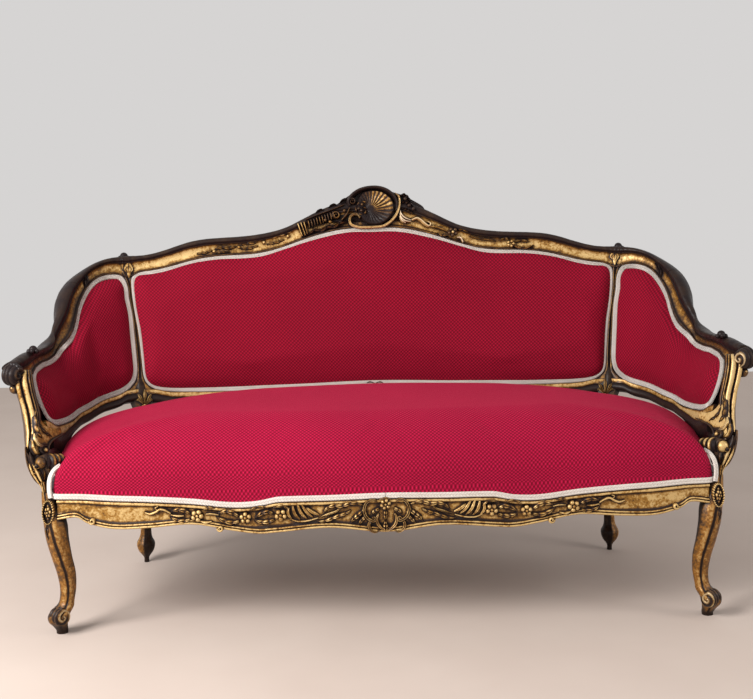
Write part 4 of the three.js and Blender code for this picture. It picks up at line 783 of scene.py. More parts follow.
# the side rails start beside the front legs
SIDE_M = np.vstack([SIDE_M[2] + .47 * (SIDE_M[1] - SIDE_M[2]), SIDE_M[2:]])
for side, tag in SIDES:
    seat_rail("side_rail_moulded_" + tag, SIDE_M * (side, 1, 1, 1), ["side_seat_rail_" + tag], GILT_LEG, 96)
REAR_ALL = np.vstack([REAR_M, (REAR_M[:-1] * (-1, 1, 1, 1))[::-1]])
seat_rail("rear_rail_plain", REAR_ALL, ["rear_seat_rail"], GILT_LEG, 60, carved=False)


# ---- legs and arm supports --------------------------------------------------
# Rows of x, y and z in shares of the driving sizes, and thickness in shares of HALF_LEG
FRONT_LEG = [(.861, -.381, 0, .57), (.861, -.381, .008, .61), (.864, -.387, .02, .74), (.867, -.395, .035, 1.0),
             (.864, -.395, .05, 1.05), (.851, -.386, .066, .9), (.845, -.379, .08, .74), (.841, -.375, .11, .8),
             (.842, -.382, .15, .93), (.849, -.392, .19, 1.0), (.856, -.398, .235, 1.1), (.860, -.394, .27, 1.14),
             (.868, -.388, .305, .98), (.876, -.384, .346, .7)]
REAR_LEG = [(.722, .292, 0, .30), (.722, .292, .013, .30), (.722, .292, .020, .46), (.722, .293, .032, .84),
            (.722, .294, .046, 1.04), (.722, .295, .057, 1.02), (.722, .296, .068, .78), (.721, .297, .082, .64),
            (.72, .298, .11, .62), (.719, .301, .16, .76), (.718, .304, .22, .89), (.717, .306, .262, 1),
            (.717, .306, .352, 1), (.718, .307, .42, .9), (.722, .318, .49, .78), (.728, .338, .532, .4)]
HALF_LEG = .023
# Radius round a leg by turn from its seam towards the front, in degrees, with the tone there
LEG_SECTION = np.array([(-180, .98, .3), (-150, 1.03, .35), (-112, 1.0, .45), (-92, 1.02, .3), (-84, 1.0, .0),
                        (-76, 1.03, .3), (-64, 1.08, .8), (-40, 1.07, .8), (-20, 1.09, .9), (-9, 1.10, .8),
                        (-4, 1.05, .2), (0, 1.02, -.1), (4, 1.05, .2), (9, 1.11, .9), (18, 1.13, 1.05),
                        (26, 1.09, .95), (48, 1.05, .8), (66, 1.08, .75), (76, 1.07, .4), (84, 1.0, .0),
                        (92, 1.01, .2), (112, 1.0, .4), (150, 1.03, .35), (180, .98, .3)])


def leg_ring(centre, half, facing, side, seam, sharpness):
    """Points round a leg with their tones; seam is where its sharp edge stands, in degrees."""
    turn = np.linspace(0, 2 * np.pi, 84, endpoint=False)
    fold = (np.degrees(turn) * -side - seam + 180) % 360 - 180
    radius = np.interp(fold, LEG_SECTION[:, 0], LEG_SECTION[:, 1])
    radius = 1.02 + (radius - 1.02) * sharpness
    tone = np.interp(fold, LEG_SECTION[:, 0], LEG_SECTION[:, 2])
    ring = np.stack([np.cos(turn + facing), np.sin(turn + facing)], -1) * (radius * half)[:, None]
    return np.column_stack([centre[:2] + ring, np.full(len(turn), centre[2])]), tone


def leg(name, rows, side, facing, replaced, sharp):
    """A leg along rows of x, y, z and thickness; sharp gives heights and how crisp its edges are there."""
    rows = np.array(rows, float)
    centre = rows[:, :3] * (HALF * side, DEPTH, HEIGHT) + SHIFT
    facing = facing if side > 0 else math.pi - facing
    line = catmull(np.column_stack([centre, rows[:, 3] * HALF_LEG]), np.linspace(0, len(rows) - 1, 110))
    line[:, 2] = np.maximum.accumulate(line[:, 2])
    rings, tones = [], []
    for row in line:
        seam = float(np.interp(row[2], [0, .1, .2, .3], [58, 56, 46, 22]))
        ring, tone = leg_ring(row[:3], row[3], facing, side, seam, float(np.interp(row[2], *sharp)))
        rings.append(ring)
        # darker towards the floor
        tones.append(tone * (.25 + .75 * float(np.clip((row[2] - .004) / .03, 0, 1))))
    gilt_tube(name, np.array(rings), tones, GILT_LEG, replaced)


for side, tag in SIDES:
    leg("front_leg_carved_" + tag, FRONT_LEG, side, math.radians(-48), ["front_leg_" + tag],
        ([0, .03, .07, .2, .25, .3, .35], [.2, .3, 1, 1, .8, .3, .1]))
    leg("back_post_carved_" + tag, REAR_LEG, side, math.radians(48), ["back_post_" + tag],
        ([0, .05, .1, .26, .28, .4, .5], [.3, .5, .8, .8, .2, .6, .6]))


# Section of the arm support: forward, inward, tone; an outer reed, the middle face and an inner moulding
SUPPORT_SECTION = np.array([(-1, -.85, .2), (-.5, -1, .3), (.1, -1.02, .45), (.5, -1, .7), (.78, -.95, .9),
                            (.95, -.84, 1.0), (1.0, -.70, .95), (.94, -.58, .7), (.78, -.50, .1), (.62, -.45, -.25),
                            (.8, -.38, .3), (.98, -.28, .95), (1.10, -.12, 1.1), (1.12, .04, 1.1), (1.02, .18, .9),
                            (.88, .27, .4), (.66, .33, -.25), (.72, .40, .1), (.80, .48, .6), (.82, .58, .65),
                            (.76, .66, .2), (.60, .71, -.2), (.68, .78, .3), (.66, .88, .45), (.5, .97, .3),
                            (.2, 1.02, .25), (-.6, 1, .2), (-1, .9, .15)])
# Centre of the arm support in metres, with its half sizes forward and across
SUPPORT_ROWS = np.array([(.7935, -.310, .325, .0110, .0085), (.7955, -.307, .350, .0105, .0080),
                         (.800, -.303, .364, .011, .0095), (.807, -.300, .378, .013, .0120),
                         (.815, -.296, .396, .015, .0150), (.8245, -.285, .419, .016, .0150),
                         (.8305, -.265, .447, .016, .0135), (.8295, -.245, .480, .016, .0180),
                         (.8305, -.234, .510, .016, .0225), (.8355, -.229, .536, .0155, .0222),
                         (.8425, -.225, .564, .0155, .0230), (.848, -.220, .592, .0155, .0240),
                         (.850, -.214, .604, .0150, .0234), (.8505, -.211, .6125, .0110, .0220),
                         (.851, -.208, .618, .0040, .0195)])


def square_to(v, along):
    """The part of v that is square to a line, with length one."""
    return unit(v - along * np.einsum("ij,ij->i", v, along)[:, None])


def arm_support(side, tag):
    rows = catmull(SUPPORT_ROWS, np.linspace(0, len(SUPPORT_ROWS) - 1, 100))
    line, half = rows[:, :3] + SHIFT, rows[:, 3:]
    along = unit(np.gradient(line, axis=0))
    ahead = np.tile(unit(np.array([-.20, -.98, 0.])), (len(line), 1))
    forward = square_to(ahead, along)
    inward = unit(np.cross(along, forward)) * -1
    inward = np.where(inward[:, :1] > 0, -inward, inward)
    flip = np.array([side, 1, 1])
    line, forward, inward = line * flip, forward * flip, inward * flip
    # the right support's tones are raised and the left's lowered: painted light and painted shade on two copies of
    # one carving
    section = SUPPORT_SECTION * (1, 1, 1.1 if side > 0 else .84)
    section[:, 1] = np.where(section[:, 1] > 0, section[:, 1] * .74, section[:, 1])
    rings = (line[:, None] + forward[:, None] * (section[None, :, :1] * half[:, 0][:, None, None])
             + inward[:, None] * (section[None, :, 1:2] * half[:, 1][:, None, None]))
    # the body reaches back to the panel and the arm rail
    reach = np.interp(line[:, 2], [.385, .43, .475, .50, .595, .612, .62], [0, .018, .040, .044, .044, .034, .016])
    rings += (section[:, 0] < -.3)[None, :, None] * reach[:, None, None] * unit(np.array([side * .36, .93, 0.]))
    gilt_tube("arm_support_carved_" + tag, rings, np.tile(section[:, 2], len(line)), GILT, ["arm_support_" + tag],
              side > 0)


for side, tag in SIDES:
    arm_support(side, tag)


# ---- lower back rails -------------------------------------------------------
# Rise in millimetres, height in shares of the rail, tone
LOWER_SECTION = [(-24, -.5, .1), (-24, .98, .2), (-8, 1.0, .1), (6, 1.0, .1), (9.2, .95, .3), (9.6, .84, .75),
                 (8.6, .62, .8), (7.4, .46, .6), (6, .38, -.1), (8.4, .28, .0), (10.2, .05, .12), (9.8, -.2, .12),
                 (7.4, -.38, .05), (3, -.5, .0)]


def lower_rail(name, rows, side, replaced, height, steps, deeper=0.):
    """A lower rail along places on the surface; deeper is its growth towards the arm front, where its dark lower face
    is painted shade.
    """
    rows = np.array(rows, float)
    q = np.linspace(0, len(rows) - 1, (len(rows) - 1) * steps)
    uv = catmull(rows, q)
    up = np.linalg.norm(surf(uv[:, 0], uv[:, 1] + .05) - surf(uv[:, 0], uv[:, 1] - .05), axis=-1) / .1
    section = np.array(LOWER_SECTION)
    u = np.repeat(uv[:, :1], len(section), 1)
    height = height * (1 + deeper * smooth_step(uv[:, :1], 5.6, 7.1))
    h = uv[:, 1:] - height * (1 - section[None, :, 1]) / 1.5 / up[:, None]
    points = off(u, h, np.broadcast_to(section[None, :, 0] / 1000, u.shape))
    gilt_tube(name, points * (side, 1, 1), np.tile(section[:, 2], len(points)), GILT, replaced, side > 0)


lower_rail("back_foot_rail_carved", mirrored(BACK_FOOT[:-1] + [(3.06, .078)]), 1, ["lower_back_rail"], .038, 16)
for side, tag in SIDES:
    # towards the arm front the side rails grow deeper, so that their dark lower face fills the shade beside the seat:
    # painted shade
    lower_rail("side_foot_rail_carved_" + tag, [(3.06, .082)] + SIDE_FOOT[1:] + [(8.36, .33)], side,
               ["lower_side_rail_" + tag], .033, 12, 1.2)


# ---- scrolls ----------------------------------------------------------------
def roller(name, centre, upright, radius, width, turns, dark, relief, steps, taper=0., spiral_tone=1.):
    """Reeded scroll: a rim with round reeds and end faces that carry a raised spiral."""
    axis, centre = unit(np.array(upright, float)), np.array(centre, float)
    e1 = unit(np.array([0., 0., 1.]) - axis * axis[2])
    e2 = np.cross(axis, e1)
    reeds = 3
    face = np.linspace(0, .93, 15)
    rim_u = np.linspace(-1, 1, 12 * reeds + 1)
    profile = [(-1, s, 0) for s in face] + [(u, 1, 1) for u in rim_u] + [(1, s, 0) for s in face[::-1]]
    verts, tones = [], []
    for t in np.linspace(0, 2 * np.pi, steps, endpoint=False):
        size = radius * (1 - .12 * (t / (2 * np.pi)))
        for u, s, on_rim in profile:
            small = 1 - taper * max(0., -u) ** 1.4
            if on_rim:
                ridge = abs(math.cos(math.pi * (u + 1) / 2 * reeds + math.pi / 2)) ** .7
                edge = 1 - .12 * max(0, (abs(u) - .9) / .1) ** 2
                r = size * (.90 + .10 * ridge) * edge * small
                x = u * width / 2
                tone = dark * (.2 + .8 * ridge)
            else:
                r = size * s * .98 * (small if u < 0 else 1)
                wave = math.cos(2 * math.pi * turns * s - t) * .5 + .5
                x = u * (width / 2 + relief * wave * min(1, (1 - s) * 8 + .1) + .002 * (1 - s) - relief * .4)
                tone = .25 + (spiral_tone - .25) * wave
            verts.append(centre + axis * x + (e1 * math.cos(t) + e2 * math.sin(t)) * r)
            tones.append(tone)
    k = len(profile)
    faces = loop_faces(steps, k, k - 1)[:, [0, 3, 2, 1]]
    weld(make(name, verts, faces, GILT_DARK, (), tones))


for side, tag in SIDES:
    # the right scroll's spiral is painted pale and the left's dark: painted highlight and painted shade
    roller("arm_scroll_" + tag, SHIFT + (side * .8735, -.226, .611), (side * math.cos(.61), math.sin(.61), 0),
           .0285, .033, 1.5, .2, .005, 96, .24, 1.25 if side > 0 else .35)
    roller("foot_scroll_" + tag, SHIFT + (side * .776, -.326, .0475), (side * .72, .69, 0),
           .0225, .031, 1.4, .45, .004, 64)


# ---- seat -------------------------------------------------------------------
# Plan of the seat cover in metres
SEAT_FRONT = [(0, -.3815), (.13, -.3785), (.25, -.3702), (.30, -.3662), (.36, -.3618), (.45, -.3562), (.549, -.351),
              (.6297, -.3461), (.69, -.3395), (.72, -.3365), (.745, -.3345), (.765, -.3315), (.7755, -.321)]
SEAT_SIDE = [(.7755, -.321), (.777, -.298), (.781, -.265), (.79, -.23), (.803, -.17), (.808, -.11), (.8074, -.0323),
             (.7949, .0632), (.7664, .1423), (.735, .180), (.70, .198), (.655, .207)]
SEAT_BACK = [(.655, .207), (.615, .225), (.585, .252), (.545, .270), (.45, .280), (.30, .289), (.15, .2955),
             (0, .2976)]
SEAT_CENTRE = np.array([0., -.048 + SHIFT[1]])
# Height of the crown and how late and how round it falls off
CROWN, FRONT_POWER, SIDE_POWER, ROUNDNESS = .149, 7.6, 4.6, .5


def planar(rows):
    """Plan points in the frame of the part."""
    return np.array(rows, float) + SHIFT[:2]


def even_line(rows, share):
    """Points at even shares of the length of a smooth line through rows."""
    fine = catmull(rows, np.linspace(0, len(rows) - 1, 600))
    run = run_length(fine)
    return np.stack([np.interp(np.asarray(share) * run[-1], run, fine[:, i]) for i in range(fine.shape[1])], -1)


def seat_loop():
    """The seat's plan all the way round, counter-clockwise from the middle of the front."""
    right = np.vstack([planar(SEAT_FRONT), planar(SEAT_SIDE)[1:], planar(SEAT_BACK)[1:]])
    left = (right * (-1, 1))[::-1][1:-1]
    return np.vstack([right, left])


PLAN = closed_catmull(seat_loop(), np.arange(0, len(seat_loop()), .1))
PLAN_TURN = np.arctan2(*(PLAN - SEAT_CENTRE).T[::-1])
PLAN_ORDER = np.argsort(PLAN_TURN)
PLAN_REACH = np.linalg.norm(PLAN - SEAT_CENTRE, axis=1)[PLAN_ORDER]
PLAN_TURN = PLAN_TURN[PLAN_ORDER]


def seat_share(xy):
    """How far out from the seat's centre points lie, 1 at its edge."""
    rel = xy - SEAT_CENTRE
    reach = np.interp(np.arctan2(rel[..., 1], rel[..., 0]), PLAN_TURN, PLAN_REACH, period=2 * np.pi)
    return np.clip(np.linalg.norm(rel, axis=-1) / reach, 0, 1)


def seat_edge(x, y):
    """Height where the cover meets the rail."""
    front = front_face(np.clip(x, -RAIL_END, RAIL_END))[..., 2]
    back = smooth_step(y, -.34, -.31)
    return front * (1 - back) + REAR_EDGE * back


SEAT_BASE = .3475
SKIRT = (.35, .7, 1.)  # rows of the cover's edge below the crown, as shares of the fall


def seat_top(xy):
    """Height of the cover: steeper towards the front and the front corners."""
    rel = xy - SEAT_CENTRE
    bearing = (rel[..., 0] ** 2 / np.maximum((rel ** 2).sum(-1), 1e-9)) ** .62
    side = SIDE_POWER + 3.4 * (1 - smooth_step(xy[..., 1] - SHIFT[1], -.06, .07))
    power = FRONT_POWER + (side - FRONT_POWER) * bearing
    return SEAT_BASE + CROWN * np.maximum(1 - seat_share(xy) ** power, 0) ** ROUNDNESS


def seat_cover():
    """The crowned cover with the skirt that it falls into at the rails."""
    m, k = 150, 84
    # close rows near the edges, where the cover turns down
    s = np.linspace(-1, 1, m)
    s = (s * .55 + .45 * np.sin(s * np.pi / 2)) * .5 + .5
    t = np.linspace(0, 1, k)
    t = .38 * t + .62 * (.5 - .5 * np.cos(np.pi * t))
    front, back = planar(SEAT_FRONT), planar(SEAT_BACK)[::-1]
    f, b = (even_line(whole(row, (-1, 1)), s) for row in (front, back))
    r = even_line(planar(SEAT_SIDE), t)
    l = r * (-1, 1)
    S, T = s[:, None, None], t[None, :, None]
    xy = ((1 - T) * f[:, None] + T * b[:, None] + (1 - S) * l[None] + S * r[None]
          - (1 - T) * ((1 - S) * f[0] + S * f[-1]) - T * ((1 - S) * b[0] + S * b[-1]))
    points = np.concatenate([xy, seat_top(xy)[..., None]], -1)
    verts = points.reshape(-1, 3)
    faces = grid_faces(m, k, turn=True)
    weave = np.zeros((m, k, 3))
    weave[1:, :, 0] = np.cumsum(np.linalg.norm(np.diff(points, axis=0), axis=-1), 0)
    weave[..., 0] -= weave[m // 2, :, 0].copy()[None]
    weave[:, 1:, 1] = np.cumsum(np.linalg.norm(np.diff(points, axis=1), axis=-1), 1)
    weave = weave.reshape(-1, 3)
    idx = np.arange(m * k).reshape(m, k)
    loop = np.concatenate([idx[:-1, 0], idx[-1, :-1], idx[:0:-1, -1], idx[0, :0:-1]])
    ring = verts[loop]
    edge = seat_edge(ring[:, 0], ring[:, 1]) - .001
    skirt = [np.column_stack([ring[:, :2], SEAT_BASE + (edge - SEAT_BASE) * w]) for w in SKIRT]
    ids = [loop] + [len(verts) + i * len(loop) + np.arange(len(loop)) for i in range(len(skirt))]
    for upper, lower in zip(ids[:-1], ids[1:]):
        faces += np.stack([upper, lower, np.roll(lower, -1), np.roll(upper, -1)], -1).tolist()
    fall = (SEAT_BASE - edge)[:, None]
    drop = [weave[loop] - fall * share * np.array([0, 1., 0]) for share in SKIRT]
    verts = np.vstack([verts] + skirt)
    obj = make("seat_cover_padded", verts, faces, SEAT_FABRIC, ["seat_cover", "seat_stuffing"],
               weave=np.vstack([weave] + drop))
    weld(obj)
    upholster(obj, np.where(verts[:, 2] < SEAT_BASE + .004)[0], .5, .012)


seat_cover()


def seat_gimp():
    """The gimp where the seat cover meets the rails."""
    loop, at = even_loop(PLAN, .004)
    along = unit(np.roll(loop, -1, 0) - np.roll(loop, 1, 0))
    outwards = np.column_stack([along[:, 1], -along[:, 0], np.zeros(len(loop))])
    z = seat_edge(loop[:, 0], loop[:, 1]) + .0066
    points = np.column_stack([loop, z]) + outwards * .0010
    up = np.tile([0., 0., 1.], (len(loop), 1))
    band("seat_gimp_braid", points, outwards, up, at, ["seat_gimp"])


seat_gimp()


def corner_gimp(side, tag):
    """Gimp that rises from the front corner of the seat to the cuff of the arm support."""
    q = np.linspace(0, 5, 40)
    px = catmull([(50.6, 498), (49.4, 490), (49.6, 481.4), (51.6, 474.4), (55.4, 469), (60.4, 465.4)], q)
    y = np.interp(q, range(6), [-.333, -.331, -.327, -.319, -.307, -.297]) + SHIFT[1]
    d = rays(px)
    line = CAM + d * ((y - CAM[1]) / d[:, 1])[:, None]
    along = unit(np.gradient(line, axis=0))
    normal = square_to(np.tile(unit(np.array([-.35, -.93, .1])), (len(q), 1)), along)
    across = np.cross(normal, along)
    rings = (line[:, None] + across[:, None] * GIMP_SECTION[None, :, :1] * .85
             + normal[:, None] * GIMP_SECTION[None, :, 1:])
    weave = np.zeros(rings.shape)
    weave[..., 0], weave[..., 1] = run_length(line)[:, None], GIMP_SECTION[None, :, 0]
    weld(make("corner_gimp_braid_" + tag, rings.reshape(-1, 3) * (-side, 1, 1), tube_faces(*rings.shape[:2]), BRAID,
              weave=weave.reshape(-1, 3)))


for side, tag in SIDES:
    corner_gimp(side, tag)


# ---- stiles between the panels ----------------------------------------------
# Rows up the stile: place of its edge at the back panel, then at the side panel
STILE = [(2.70, .030, 3.50, .055), (2.80, .062, 3.369, .080), (2.935, .115, 3.163, .129), (2.978, .171, 3.110, .180),
         (2.976, .295, 3.078, .292), (2.979, .494, 3.072, .478), (3.015, .669, 3.066, .638),
         (3.026, .76, 3.085, .745), (3.017, .846, 3.091, .833), (2.985, .93, 3.169, .93)]
STILE_SECTION = np.array([(0, -21, .2), (0, 3, .25), (.06, 6.2, .5), (.16, 8.6, .9), (.28, 8.8, .85), (.37, 7.2, .3),
                          (.42, 5.6, .0), (.46, 7.2, .5), (.5, 8.2, .9), (.54, 7.2, .5), (.58, 5.6, .0),
                          (.63, 7.2, .3), (.72, 8.8, .85), (.84, 8.6, .9), (.94, 6.2, .5), (1, 3, .25), (1, -21, .2),
                          (.9, -24, .2), (.1, -24, .2)])


def stile(name, side):
    """The reeded post between the back and a side."""
    rows = catmull(np.array(STILE, float), np.linspace(0, len(STILE) - 1, 130))
    u, h = between_edges(rows, STILE_SECTION[None, :, 0])
    points = off(u, h, np.broadcast_to(STILE_SECTION[None, :, 1] / 1000, u.shape)) * (side, 1, 1)
    gilt_tube(name, points, np.tile(STILE_SECTION[:, 2], len(points)) * .58, GILT, (), side < 0)


for side, tag in SIDES:
    stile("back_stile_carved_" + tag, side)


# ---- carving ----------------------------------------------------------------
# First guesses of places on the surface, with where they show in the picture
SEEDS_UV = np.stack(np.meshgrid(np.linspace(-4.6, 4.6, 93), np.linspace(-.06, 1.12, 25), indexing="ij"),
                    -1).reshape(-1, 2)
SEEDS_PX = project(off(SEEDS_UV[:, 0], SEEDS_UV[:, 1], np.full(len(SEEDS_UV), .006)))


def settle(uv, target, flatten, rounds, limit):
    """Moves places on the back surface until the flat points that they give meet the target."""
    e = 1e-3
    for _ in range(rounds):
        p0 = flatten(uv)
        pu, ph = (flatten(uv + (e, 0)) - p0) / e, (flatten(uv + (0, e)) - p0) / e
        det = pu[:, 0] * ph[:, 1] - pu[:, 1] * ph[:, 0]
        d = target - p0
        uv = uv + np.clip(np.stack([(d[:, 0] * ph[:, 1] - d[:, 1] * ph[:, 0]) / det,
                                    (pu[:, 0] * d[:, 1] - pu[:, 1] * d[:, 0]) / det], -1), -limit, limit)
    return uv


def back_carrier(lift):
    """Places picture points on the front of the back frame."""
    def place(px):
        px = np.atleast_2d(px)
        near = np.argmin(((px[:, None] - SEEDS_PX[None]) ** 2).sum(-1), 1)
        r = np.full(len(px), lift)
        uv = settle(SEEDS_UV[near], px, lambda at: project(off(at[:, 0], at[:, 1], r)), 12, .2)
        return off(uv[:, 0], uv[:, 1], r), surf_normal(uv[:, 0], uv[:, 1])
    return place


def rail_carrier(px):
    """Places picture points on the front seat rail."""
    d = rays(np.atleast_2d(px))
    y = np.full(len(d), FRONT_ALL[len(FRONT_ALL) // 2, 1])
    for _ in range(12):
        x = CAM[0] + d[:, 0] * (y - CAM[1]) / d[:, 1]
        y = front_face(np.clip(x, -RAIL_END, RAIL_END))[:, 1]
    p = CAM + d * ((y - CAM[1]) / d[:, 1])[:, None]
    slope = (front_face(p[:, 0] + .004)[:, 1] - front_face(p[:, 0] - .004)[:, 1]) / .008
    return p, unit(np.column_stack([slope, -np.ones(len(d)), np.zeros(len(d))]))


BACK_FACE, SHELL_FACE, RAIL_FACE = back_carrier(.0055), back_carrier(.0125), rail_carrier
# Turns round a small ball, and falls from its top
BALL_TURN, BALL_FALL = np.linspace(0, 2 * np.pi, 14, endpoint=False), np.linspace(.06, math.pi - .06, 9)


class Carving:
    """Collects carved forms into one mesh; bed is how far a dark ground of painted shade shows round each stroke, in
    millimetres.
    """

    def __init__(self, shade_bed=0.):
        self.verts, self.faces, self.tones = [], [], []
        self.count, self.shade_bed = 0, shade_bed

    def tube(self, rings, tones):
        """Adds a closed form from rings of points."""
        m, k = rings.shape[:2]
        self.verts.append(rings.reshape(-1, 3))
        self.tones.append(np.broadcast_to(tones, (m, k)).reshape(-1))
        self.faces += tube_faces(m, k, self.count)
        self.count += m * k

    def stroke(self, face, px, width, height, lobes=0, vein=.0, sink=.004, tone=.9, lobe_depth=.3, hollow=0.,
               steps=None):
        """A leaf, stem or scroll along picture points; width and height in millimetres along it."""
        px = np.array(px, float)
        # the dark ground under the stroke is painted shade
        if self.shade_bed:
            shade_bed, self.shade_bed = self.shade_bed, 0.
            self.stroke(face, px, np.atleast_1d(width) * 1.1 + 2 * shade_bed, 1.1, sink=.003, tone=-.25)
            self.shade_bed = shade_bed
        steps = steps or int(max(10, 6 * (len(px) - 1), lobes * 10))
        line = np.linspace(0, len(px) - 1, steps)
        p, n = face(catmull(px, line) if len(px) > 2 else px[0] + (px[1] - px[0]) * line[:, None])
        t = np.linspace(0, 1, steps)
        w, h = (np.interp(t, np.linspace(0, 1, np.size(size)), np.atleast_1d(size)) / 1000 for size in (width,
                                                                                                        height))
        along = unit(np.gradient(p, axis=0))
        across = unit(np.cross(n, along))
        s = np.linspace(-1, 1, 13 if lobes or vein or hollow else 9)
        S, T = s[None], t[:, None]
        body = np.maximum(1 - np.abs(S) ** 2.4, 0) ** .6
        reach = np.ones_like(T * S)
        tones = tone * (.35 + .65 * body) * np.ones_like(T)
        if lobes:
            wave = np.abs(np.sin(np.pi * (lobes * T + .32 * np.abs(S))))
            reach = 1 - lobe_depth * (1 - wave ** .6)
            body = body * (.55 + .45 * wave ** .8)
            tones = tones * (.35 + .65 * wave)
        if vein:
            groove = np.exp(-(S / .16) ** 2)
            body = body * (1 - vein * groove)
            tones = tones * (1 - .8 * vein * groove)
        if hollow:
            body = body * (1 - hollow * (1 - (S / .6) ** 2) * (np.abs(S) < .6))
            tones = tones * (1 - .7 * hollow * (np.abs(S) < .5))
        rise = body * h[:, None] - sink * (np.abs(S) > .999)
        self.tube(p[:, None] + across[:, None] * (S * w[:, None] / 2 * reach)[..., None]
                  + n[:, None] * rise[..., None], tones)

    def strokes(self, face, rows, **options):
        """Strokes that share their options, from rows of points, widths and heights."""
        for px, width, height in rows:
            self.stroke(face, px, width, height, **options)

    def plate(self, face, outline, centre, height, depth, tone):
        """A solid cushion inside a closed outline of picture points; height and depth in millimetres."""
        outline = closed_catmull(np.array(outline, float), np.arange(0, len(outline), .2))
        centre = np.array(centre, float)
        rings, tones = [], []
        for scale, rise, shade in ((.96, -depth, .4), (1., -depth * .8, .4), (1., 0, .5), (.985, height * .6, .8),
                                   (.95, height, 1.), (.8, height * 1.1, 1.), (.5, height * 1.15, 1.),
                                   (.04, height * 1.15, 1.)):
            p, n = face(centre + (outline - centre) * scale)
            rings.append(p + n * (rise / 1000))
            tones.append([tone * shade])
        self.tube(np.array(rings), np.array(tones))

    @staticmethod
    def spot(face, px):
        """A place on a face, its normal there, and the directions to the picture's right and up or down."""
        p, n = face(np.array([px, (px[0] + 1, px[1])], float))
        right = unit(p[1] - p[0] - n[0] * np.dot(p[1] - p[0], n[0]))
        return p[0], n[0], right, np.cross(n[0], right)

    def blossom(self, face, px, radius, petals, height, turn=0., tone=.9, squash=1.):
        """Open flower with round petals and a button."""
        p0, n0, right, up = self.spot(face, px)
        up = up if up[2] > 0 else -up
        rho = np.array([.02, .12, .2, .26, .32, .42, .55, .7, .82, .92, 1., 1.])
        phi = np.linspace(0, 2 * np.pi, petals * 8, endpoint=False)
        lobe = np.abs(np.cos(petals * (phi - turn) / 2))
        R = radius / 1000 * (.74 + .26 * lobe ** .6)
        rings, tones = [], []
        for i, r in enumerate(rho):
            if r < .25:
                z = height * (.75 + .35 * math.sqrt(max(0, 1 - (r / .25) ** 2))) * np.ones_like(phi)
                shade = np.ones_like(phi)
            elif r < .3:
                z = height * .35 * np.ones_like(phi)
                shade = np.full_like(phi, .1)
            else:
                z = height * (.45 + .5 * math.sin(math.pi * min(1, (r - .3) / .75)) * (.35 + .65 * lobe ** .7))
                shade = .3 + .7 * lobe ** .8
            if i == len(rho) - 1:
                z = np.full_like(phi, -4.)
            rings.append(p0 + (right * (np.cos(phi) * R * r)[:, None] + up * (np.sin(phi) * R * r * squash)[:, None])
                         + n0 * (z / 1000)[:, None])
            tones.append(tone * shade)
        self.tube(np.array(rings), np.array(tones))

    def bead(self, face, px, radius, lift, tone, tall=1.):
        """Small ball; radius in millimetres, lift how far its centre stands off, in radii."""
        p0, n0, right, up = self.spot(face, px)
        rings = np.array([p0 + n0 * ((lift + math.cos(x)) * radius / 1000)
                          + math.sin(x) * radius / 1000 * (right * np.cos(BALL_TURN)[:, None]
                                                           + up * tall * np.sin(BALL_TURN)[:, None])
                          for x in BALL_FALL])
        shade = np.clip(.5 + .5 * np.cos(BALL_FALL), 0, 1)[:, None] * np.ones((1, len(BALL_TURN)))
        self.tube(rings, tone * (.3 + .7 * shade))

    def beads(self, face, places, radius, lift, tone):
        for px in places:
            self.bead(face, px, radius, lift, tone)

    def petals(self, face, centre, reach, turn, radius, lift, tone):
        """Five beads round a centre; reach across and up in picture points."""
        turns = [2 * math.pi * k / 5 + turn for k in range(5)]
        self.beads(face, [(centre[0] + reach[0] * math.cos(a), centre[1] + reach[1] * math.sin(a)) for a in turns],
                   radius, lift, tone)

    def build(self, name, material=None, mirror=False, replaced=()):
        verts = np.vstack(self.verts) * (-1 if mirror else 1, 1, 1)
        weld(make(name, verts, self.faces, material or GILT, replaced, np.concatenate(self.tones)))


def spiral(centre, radius, turns, start, direction):
    """Picture points of a volute that winds inwards; start in degrees, direction 1 for clockwise in the picture."""
    t = np.linspace(0, 1, int(8 * turns) + 2)
    angle = np.radians(start) + direction * 2 * np.pi * turns * t
    r = radius * (1 - .84 * t ** .85)
    return [(centre[0] + r0 * math.cos(a), centre[1] + r0 * math.sin(a)) for r0, a in zip(r, angle)]


